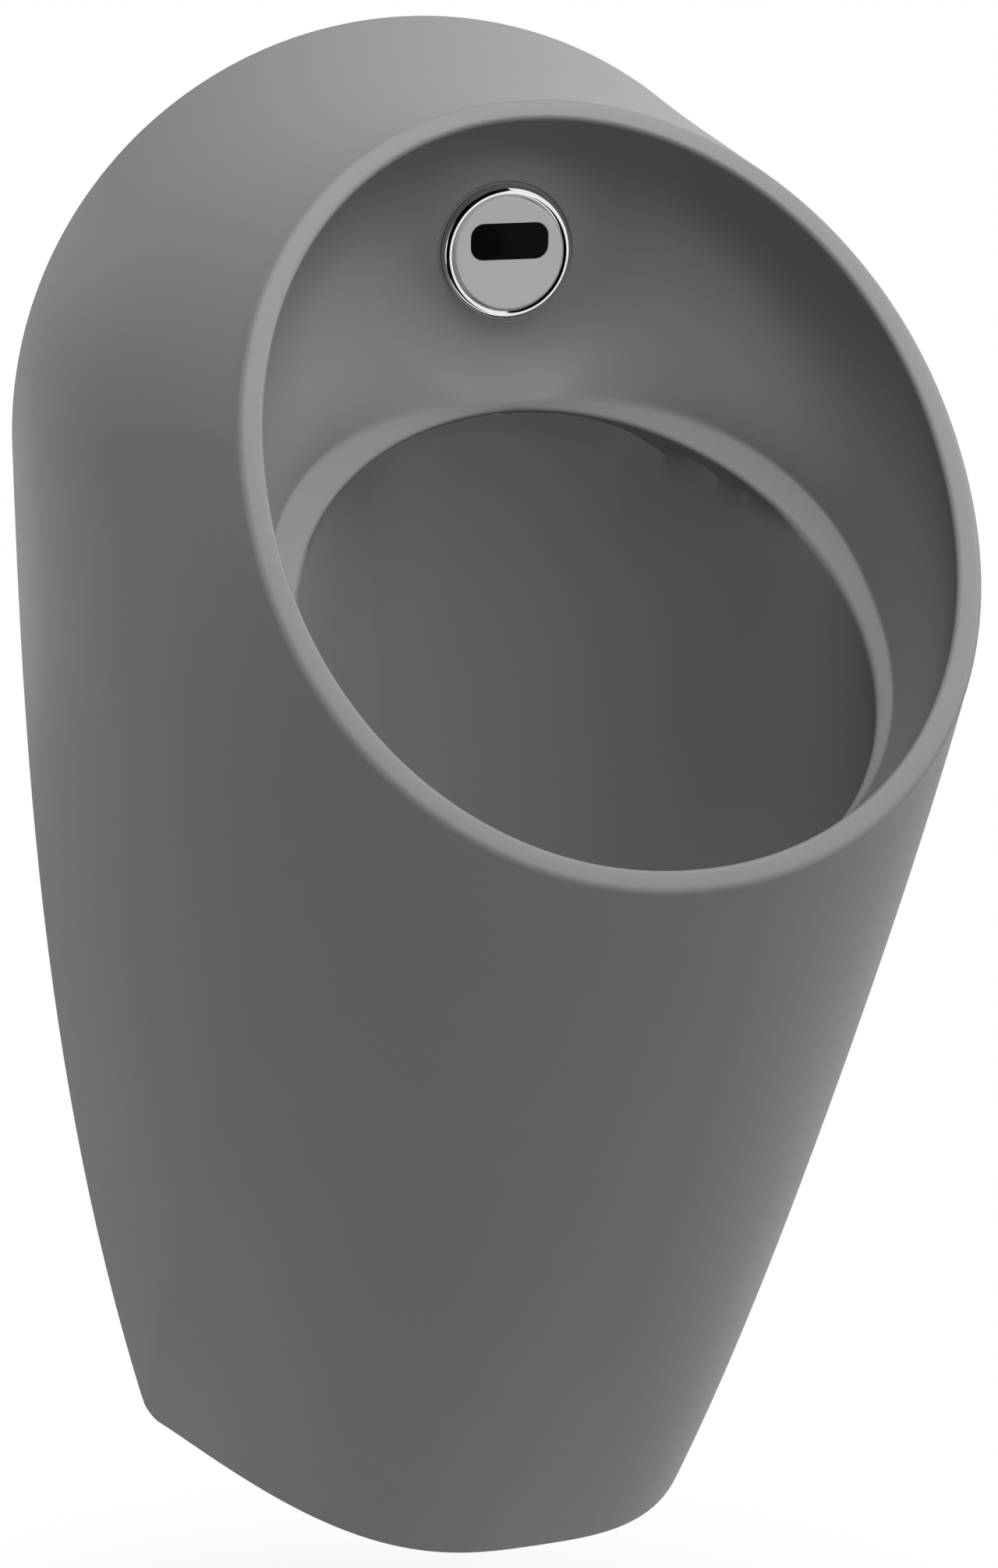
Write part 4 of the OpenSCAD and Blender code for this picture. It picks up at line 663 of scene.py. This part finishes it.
# %% [markdown]
# ## Finishes
# A finish is a small network of nodes. Written out link by link it is hard to read, so a value
# that varies over the surface is wrapped in a small class: adding or multiplying two of them
# adds the Math node. Every other node comes from one method.
# %% A wrapper for values
class Value:
    """A number or colour that varies over a surface: the output of a node."""

    def __init__(self, nodes, socket):
        self.nodes, self.socket = nodes, socket

    def maths(self, operation, first, second):
        return self.nodes.node("Math", {"operation": operation}, {0: first, 1: second})

    def __add__(self, other):
        return self.maths("ADD", self, other)

    def __radd__(self, other):
        return self.maths("ADD", other, self)

    def __mul__(self, other):
        return self.maths("MULTIPLY", self, other)

    def __rmul__(self, other):
        return self.maths("MULTIPLY", other, self)

    def __gt__(self, other):
        return self.maths("GREATER_THAN", self, other)


# %% A tree of nodes, and a finish in the making
class Nodes:
    """A tree that grows by one method."""

    def __init__(self, tree):
        self.tree = tree

    def node(self, kind, settings=None, inputs=None, output=0):
        """Adds a node, sets it, then feeds its sockets with numbers or values."""
        made = self.tree.nodes.new("ShaderNode" + kind)
        for name, setting in (settings or {}).items():
            setattr(made, name, setting)
        for socket, value in (inputs or {}).items():
            self.feed(made.inputs[socket], value)
        return Value(self, made.outputs[output]) if made.outputs else made

    def feed(self, socket, value):
        """Links a value to a socket, or writes a number or colour on it."""
        if isinstance(value, Value):
            self.tree.links.new(value.socket, socket)
        else:
            socket.default_value = value


class Finish(Nodes):
    """A material, its principled shader and the nodes before it."""

    def __init__(self, name, colour, roughness, metallic=0.0, **constants):
        self.material = bpy.data.materials.new(name)
        self.material.use_nodes = True
        super().__init__(self.material.node_tree)
        self.shader = self.tree.nodes["Principled BSDF"]
        self.set("Base Color", (*colour, 1))
        self.set("Roughness", roughness)
        self.set("Metallic", metallic)
        self.material.diffuse_color = (*colour, 1)
        for socket, value in constants.items():
            self.set(socket.replace("_", " "), value)

    def set(self, socket, value):
        """Feeds one socket of the shader."""
        self.feed(self.shader.inputs[socket], value)

    def where(self, **settings):
        """The point on the object, in its own metres, optionally stretched or turned."""
        spot = self.node("TexCoord", output="Object")
        if settings:
            spot = self.node("Mapping", None, {"Vector": spot, **settings})
        return spot

    def noise(self, scale, detail=3.0, spot=None, **more):
        return self.node("TexNoise", None, {
            "Vector": spot or self.where(), "Scale": scale, "Detail": detail, **more})

    def colours(self, first, second, factor):
        """One colour or value over another where the factor is 1."""
        first, second = (c if isinstance(c, Value) else (*c, 1) for c in (first, second))
        return self.node("Mix", {"data_type": "RGBA"}, {0: factor, 6: first, 7: second}, 2)

    def bump(self, height, depth, strength=1.0):
        self.set("Normal", self.node("Bump", None, {
            "Height": height, "Distance": depth, "Strength": strength}))


print("finishes can be made")

# %% [markdown]
# The glaze is a matte grey. It isn't one flat colour: fired glaze pools a little, carries fine
# darker specks, and its skin has a faint orange peel that breaks up the highlights.
# %% Matte grey glaze
glaze = Finish("matte_grey_glaze", (0.13, 0.13, 0.13), 0.45, Specular_IOR_Level=0.15)
pooling = glaze.noise(9, 4)
specks = glaze.noise(900, 1) > 0.72
glaze.set("Base Color", glaze.colours((0.124, 0.124, 0.1245), (0.138, 0.138, 0.1375), pooling))
glaze.set("Roughness", 0.42 + 0.1 * pooling + 0.1 * specks)
glaze.bump(glaze.noise(260, 2), 0.00006, 0.35)


def dress(finish, *pieces):
    """Gives this finish to new pieces, and to nodes of the frame by name."""
    for piece in pieces:
        if isinstance(piece, str):
            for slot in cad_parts[piece].material_slots:
                slot.material = finish.material
        else:
            piece.data.materials.clear()
            piece.data.materials.append(finish.material)


dress(glaze, body)

# %% [markdown]
# Plated brass is a mirror that never stays clean: a faint film of fingers and water changes
# its roughness here and there. The disc is lacquered metal with a very fine grain, and the
# window a smooth dark plastic that hardly reflects from the front.
# %% Sensor finishes
chrome = Finish("chrome", (0.83, 0.83, 0.85), 0.06, 1.0)
film = chrome.noise(120, 4, Distortion=0.6)
chrome.set("Roughness", 0.03 + 0.09 * film * film)
chrome.set("Base Color", chrome.colours((0.86, 0.86, 0.88), (0.78, 0.78, 0.8), film))
dress(chrome, ring, nozzle, "stop_valve_ball")

lacquer = Finish("satin_lacquer", (0.43, 0.43, 0.43), 0.42, 0.0, Specular_IOR_Level=0.35)
grain = lacquer.noise(2600, 2)
lacquer.set("Base Color", lacquer.colours((0.42, 0.42, 0.422), (0.444, 0.444, 0.442), grain))
lacquer.set("Roughness", 0.36 + 0.12 * grain)
lacquer.bump(grain, 0.00001, 0.2)
dress(lacquer, disc)

smoked = Finish("smoked_window", (0.003, 0.003, 0.0034), 0.12, 0.0, Specular_IOR_Level=0.03)
dust = smoked.noise(4200, 1) > 0.78
smoked.set("Roughness", 0.1 + 0.06 * smoked.noise(90, 3) + 0.3 * dust)
smoked.set("Base Color", smoked.colours((0.003, 0.003, 0.0034), (0.012, 0.012, 0.012), dust))
dress(smoked, window)
print("sensor dressed")

# %% [markdown]
# Behind the ceramic, plastics are told apart by their grain: moulded covers are spark eroded
# and speckled, pipes are smooth with long draw marks, and rubber is dull with a bloom that
# greys its high spots.
# %% Plastics and rubber
def moulded(name, colour, roughness=0.5, grain=1400, draw=(1, 1, 1)):
    """A moulded plastic: fine grain, slow flow marks, and paler rubbed spots."""
    finish = Finish(name, colour, roughness)
    spot = finish.where(Scale=draw)
    fine, slow = finish.noise(grain, 2, spot), finish.noise(38, 4, spot, Distortion=0.8)
    paler = tuple(min(1, 1.3 * c + 0.006) for c in colour)
    finish.set("Base Color", finish.colours(colour, paler, 0.65 * slow * slow + 0.2 * fine))
    finish.set("Roughness", roughness - 0.08 + 0.16 * slow)
    finish.bump(fine + 0.5 * slow, 0.00005, 0.4)
    return finish


dress(moulded("black_plastic", (0.022, 0.022, 0.025), 0.48),
      "sensor_housing", "clamp_nut", "flush_valve_body", "valve_bonnet", "solenoid_coil")
dress(moulded("grey_plastic", (0.085, 0.085, 0.093), 0.55, 1100),
      "power_box", "power_box_lid", "carrier_plate")
dress(moulded("pipe_plastic", (0.07, 0.072, 0.078), 0.38, 300, (1, 0.06, 1)), "waste_pipe")
dress(moulded("insert_plastic", (0.12, 0.125, 0.13), 0.4, 300, (1, 1, 0.08)), "trap_insert")
dress(moulded("white_plastic", (0.66, 0.66, 0.635), 0.36, 700),
      "trap_body", "inlet_filter", "ball_seats")
dress(moulded("cable_jacket", (0.018, 0.018, 0.02), 0.55, 2400), "sensor_cable", "coil_cable")
dress(moulded("lamp_resin", (0.03, 0.024, 0.05), 0.12, 500), "sensor_lamps")

rubber = Finish("rubber", (0.016, 0.016, 0.016), 0.8)
bloom = rubber.noise(60, 5, Roughness=0.65)
rubber.set("Base Color", rubber.colours(
    (0.013, 0.013, 0.013), (0.036, 0.036, 0.034), bloom * bloom))
rubber.set("Roughness", 0.68 + 0.2 * bloom)
rubber.bump(rubber.noise(1900, 3), 0.00008, 0.5)
dress(rubber, "sensor_seal", "flush_piston", "outlet_sleeve", "waste_ring")
print("plastics and rubber dressed")

# %% [markdown]
# Metals differ in how they were worked: sheet is brushed along its length, drawn rod and tube
# carry long lines, pressed sheet has an even grain, and turned brass tarnishes in blotches.
# A network for each would repeat itself, so one function stretches the same noise into all.
# %% Metals
def worked(name, colour, tarnish, roughness, stretch, scale=500, mark=0.00004):
    """A metal with tool marks along the short side of stretch, and a patchy skin."""
    finish = Finish(name, colour, roughness, 1.0)
    marks = finish.noise(scale, 3, finish.where(Scale=stretch))
    patches = finish.noise(45, 5, Distortion=0.5)
    finish.set("Base Color", finish.colours(colour, tarnish, patches * patches))
    finish.set("Roughness", roughness - 0.1 + 0.16 * marks + 0.1 * patches)
    finish.bump(marks, mark, 0.45)
    return finish


dress(worked("brushed_steel", (0.44, 0.445, 0.455), (0.33, 0.33, 0.34), 0.38, (0.05, 1, 1)),
      "wall_hooks", "foot_clips")
dress(worked("drawn_steel", (0.6, 0.6, 0.61), (0.5, 0.5, 0.51), 0.26, (1, 1, 0.06)),
      spring, "flush_pipe", "plunger", "coil_nut")
dress(worked("pressed_steel", (0.58, 0.58, 0.59), (0.47, 0.465, 0.46), 0.3, (1, 1, 1), 900),
      "drain_strainer")
dress(worked("zinc_plate", (0.57, 0.57, 0.56), (0.44, 0.43, 0.38), 0.36, (1, 0.2, 1), 700),
      "lid_screws", "carrier_screws", "hanger_bolts", "hanger_washers", "hanger_nuts",
      "foot_screws", "foot_nuts", "wall_screws")
dress(worked("turned_brass", (0.68, 0.49, 0.21), (0.4, 0.25, 0.1), 0.3, (0.3, 1, 0.3), 800),
      "inlet_pipe", "inlet_nut", "stop_valve_body", "stop_valve_plug", "packing_nut",
      "pipe_nut", "nozzle_nut")
print("metals dressed")

# %% [markdown]
# The circuit board is glass fibre under green lacquer, with copper tracks that show as paler
# lines. Real tracks would be hundreds of thin pieces on a board that nobody sees, so the
# tracks are bands of a brick pattern. The cells carry a plain two-tone wrap.
# %% Board and cells
board = Finish("board_lacquer", (0.012, 0.075, 0.032), 0.3)
on_board = board.where(Rotation=(math.radians(90 + SENSOR_LEAN), 0, 0))
tracks = board.node("TexBrick", {"offset": 0.37}, {
    "Vector": on_board, "Scale": 260, "Mortar Size": 0.05, "Brick Width": 0.9,
    "Row Height": 0.22}, 1)
weave = board.noise(1500, 2)
board.set("Base Color", board.colours(
    (0.01, 0.062, 0.027), (0.03, 0.16, 0.06), 0.8 * tracks + 0.12 * weave))
board.set("Roughness", 0.25 + 0.15 * weave)
board.bump(tracks + 0.2 * weave, 0.00003, 0.5)
dress(board, "circuit_board")

wrap = Finish("cell_wrap", (0.02, 0.02, 0.022), 0.28)
across = wrap.node("SeparateXYZ", None, {"Vector": wrap.where()})
cell_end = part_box("batteries")[1].x
copper = across > cell_end - 0.018
tip = across > cell_end - 0.0013
wear = wrap.noise(300, 4)
banded = wrap.colours((0.016, 0.016, 0.018), (0.5, 0.24, 0.07), copper)
wrap.set("Base Color", wrap.colours(banded, (0.6, 0.6, 0.6), tip))
wrap.set("Metallic", 0.6 * copper + 0.4 * tip)
wrap.set("Roughness", 0.22 + 0.2 * wear)
wrap.bump(wear, 0.00003, 0.3)
dress(wrap, "batteries")
print("board and cells dressed")

# %% [markdown]
# ## Light, floor and camera
# The real object stands against white. A white floor and a white world could be lit until
# they burn out, but that would also flood the object. So the world only looks white to the
# camera and to reflections, through the Light Path node, while the lamps stay at a plain level.
# %% White surroundings
SKY = 0.1
world = bpy.data.worlds.new("studio")
bpy.context.scene.world = world
world.use_nodes = True
sky = Nodes(world.node_tree)
sky.tree.nodes.clear()
LARGER = {"operation": "MAXIMUM"}
camera_ray, glossy_ray, transmitted_ray = (
    sky.node("LightPath", output=f"Is {kind} Ray") for kind in ("Camera", "Glossy", "Transmission"))
bounced = sky.node("Math", LARGER, {0: glossy_ray, 1: transmitted_ray})
seen = sky.node("Math", LARGER, {0: camera_ray, 1: bounced})
soft = sky.node("Background", None, {"Color": (1, 1, 1, 1), "Strength": SKY})
white = sky.node("Background", None, {"Color": (1, 1, 1, 1), "Strength": 1.0})
shown = sky.node("MixShader", None, {0: seen, 1: soft, 2: white})
sky.node("OutputWorld", None, {"Surface": shown})
print("the world shows white and lights with", SKY)

# %% A pale floor under the hanging body
FLOOR_Z = -290
bpy.ops.mesh.primitive_plane_add(size=12, location=place(0, 0, FLOOR_Z))
floor = settled(bpy.context.object, "floor")
pale = Finish("pale_floor", (0.6, 0.6, 0.6), 0.9)
flat_spot = pale.where(Location=(0, 0, mm(BOLT_Z - FLOOR_Z)))
from_middle = pale.node("VectorMath", {"operation": "LENGTH"}, {0: flat_spot}, 1)
far = pale.node("MapRange", {"interpolation_type": "SMOOTHSTEP"}, {
    "Value": from_middle, "From Min": 0.12, "From Max": 0.5, "To Min": 0.0, "To Max": 1.0})
camera_ray, glossy_ray = (
    pale.node("LightPath", output=f"Is {kind} Ray") for kind in ("Camera", "Glossy"))
glow = pale.node("Emission", None, {"Color": (1, 1, 1, 1), "Strength": 1.0})
shown = pale.node("MixShader", None, {
    0: far * (camera_ray + glossy_ray), 1: Value(pale, pale.shader.outputs[0]), 2: glow})
pale.feed(pale.tree.nodes["Material Output"].inputs["Surface"], shown)
floor.data.materials.append(pale.material)

# %% [markdown]
# Matte ceramic needs broad light. Three large soft boxes, above and to the right, cast the
# shadows, and one behind lights the hidden side. The others only fill: they cast none, like
# the many white cards of a studio, because with ordinary lamps alone the deep bowl goes black.
# %% Lamps
AIM = Vector((0, -0.15, -0.05))


def facing(piece, away):
    """Turns a lamp or a card back to where it comes from."""
    piece.rotation_mode = "QUATERNION"
    piece.rotation_quaternion = away.to_track_quat("Z", "Y")


def soft_box(name, azimuth, elevation, distance, watts, shadow=False, width=1.6):
    """A square lamp that shines on the body from this direction, in degrees."""
    away = towards(azimuth, elevation)
    lamp = bpy.data.lights.new(name, "AREA")
    lamp.shape, lamp.size, lamp.energy, lamp.use_shadow = "SQUARE", width, watts, shadow
    box = bpy.data.objects.new(name, lamp)
    bpy.context.scene.collection.objects.link(box)
    box.location = AIM + distance * away
    facing(box, away)
    box.visible_camera = False
    return box


soft_box("top_box", 0, 80, 2.2, 30, shadow=True)
soft_box("right_box", 80, 40, 2.4, 32, shadow=True)
soft_box("high_right_box", 30, 60, 2.2, 13.5, shadow=True)
soft_box("high_fill", 0, 60, 2.4, 46)
soft_box("right_fill", 75, 20, 2.6, 31)
soft_box("left_fill", -45, -12, 2.6, 14)
soft_box("low_fill", 0, -30, 2.6, 8)
soft_box("back_box", 180, -4, 2.6, 24, shadow=True)
print("lamps placed")

# %% [markdown]
# Plated metal shows only what stands round it, and in a white room it looks like white
# plastic. Studios stand a black card beside the lamp to give it an edge. This one is met by
# mirror-like reflections alone, so it takes no light from the rest.
# %% Black card for the reflections
def card(name, azimuth, elevation, distance, width, height):
    """A dull black sheet in front of the sensor that only reflections meet."""
    away = towards(azimuth, elevation)
    bpy.ops.mesh.primitive_plane_add(size=1)
    sheet = bpy.context.object
    sheet.scale = (width, height, 1)
    facing(sheet, away)
    sheet.location = place(0, -129, SENSOR_Z) + distance * away
    settled(sheet, name)
    sheet.visible_camera = sheet.visible_diffuse = sheet.visible_shadow = False
    sheet.visible_transmission = False
    black = Finish(name, (0.004, 0.004, 0.004), 0.95, Specular_IOR_Level=0.0)
    sheet.data.materials.append(black.material)
    return sheet


card("black_card", -12, 12, 0.5, 0.56, 0.9)
print("card placed")

# %% [markdown]
# The camera repeats the photograph's: from the left and a little above, with a long lens.
# %% Camera
AZIMUTH, ELEVATION = -17.39, 15.501
FOCAL, SCALE = 4500.0, 2.975  # the lens in pixels of the photo, and its pixels per mm
PHOTO_HEIGHT, SENSOR_HEIGHT = 2011, 36
back = towards(AZIMUTH, ELEVATION)
right = towards(AZIMUTH + 90, 0)
up = back.cross(right)
eye = Vector((0, -120, 325)) + FOCAL / SCALE * back + 0.21 * right + 7.448 * up
camera = bpy.data.objects.new("camera", bpy.data.cameras.new("camera"))
bpy.context.scene.collection.objects.link(camera)
aspect = Matrix((right, up, back)).transposed().to_4x4()
camera.matrix_world = Matrix.Translation(place(*eye)) @ aspect
camera.data.sensor_fit = "VERTICAL"
camera.data.sensor_height = SENSOR_HEIGHT
camera.data.lens = FOCAL / PHOTO_HEIGHT * SENSOR_HEIGHT
bpy.context.scene.camera = camera
bpy.context.scene.view_settings.view_transform = "Standard"
print("lens", round(camera.data.lens, 2), "mm")
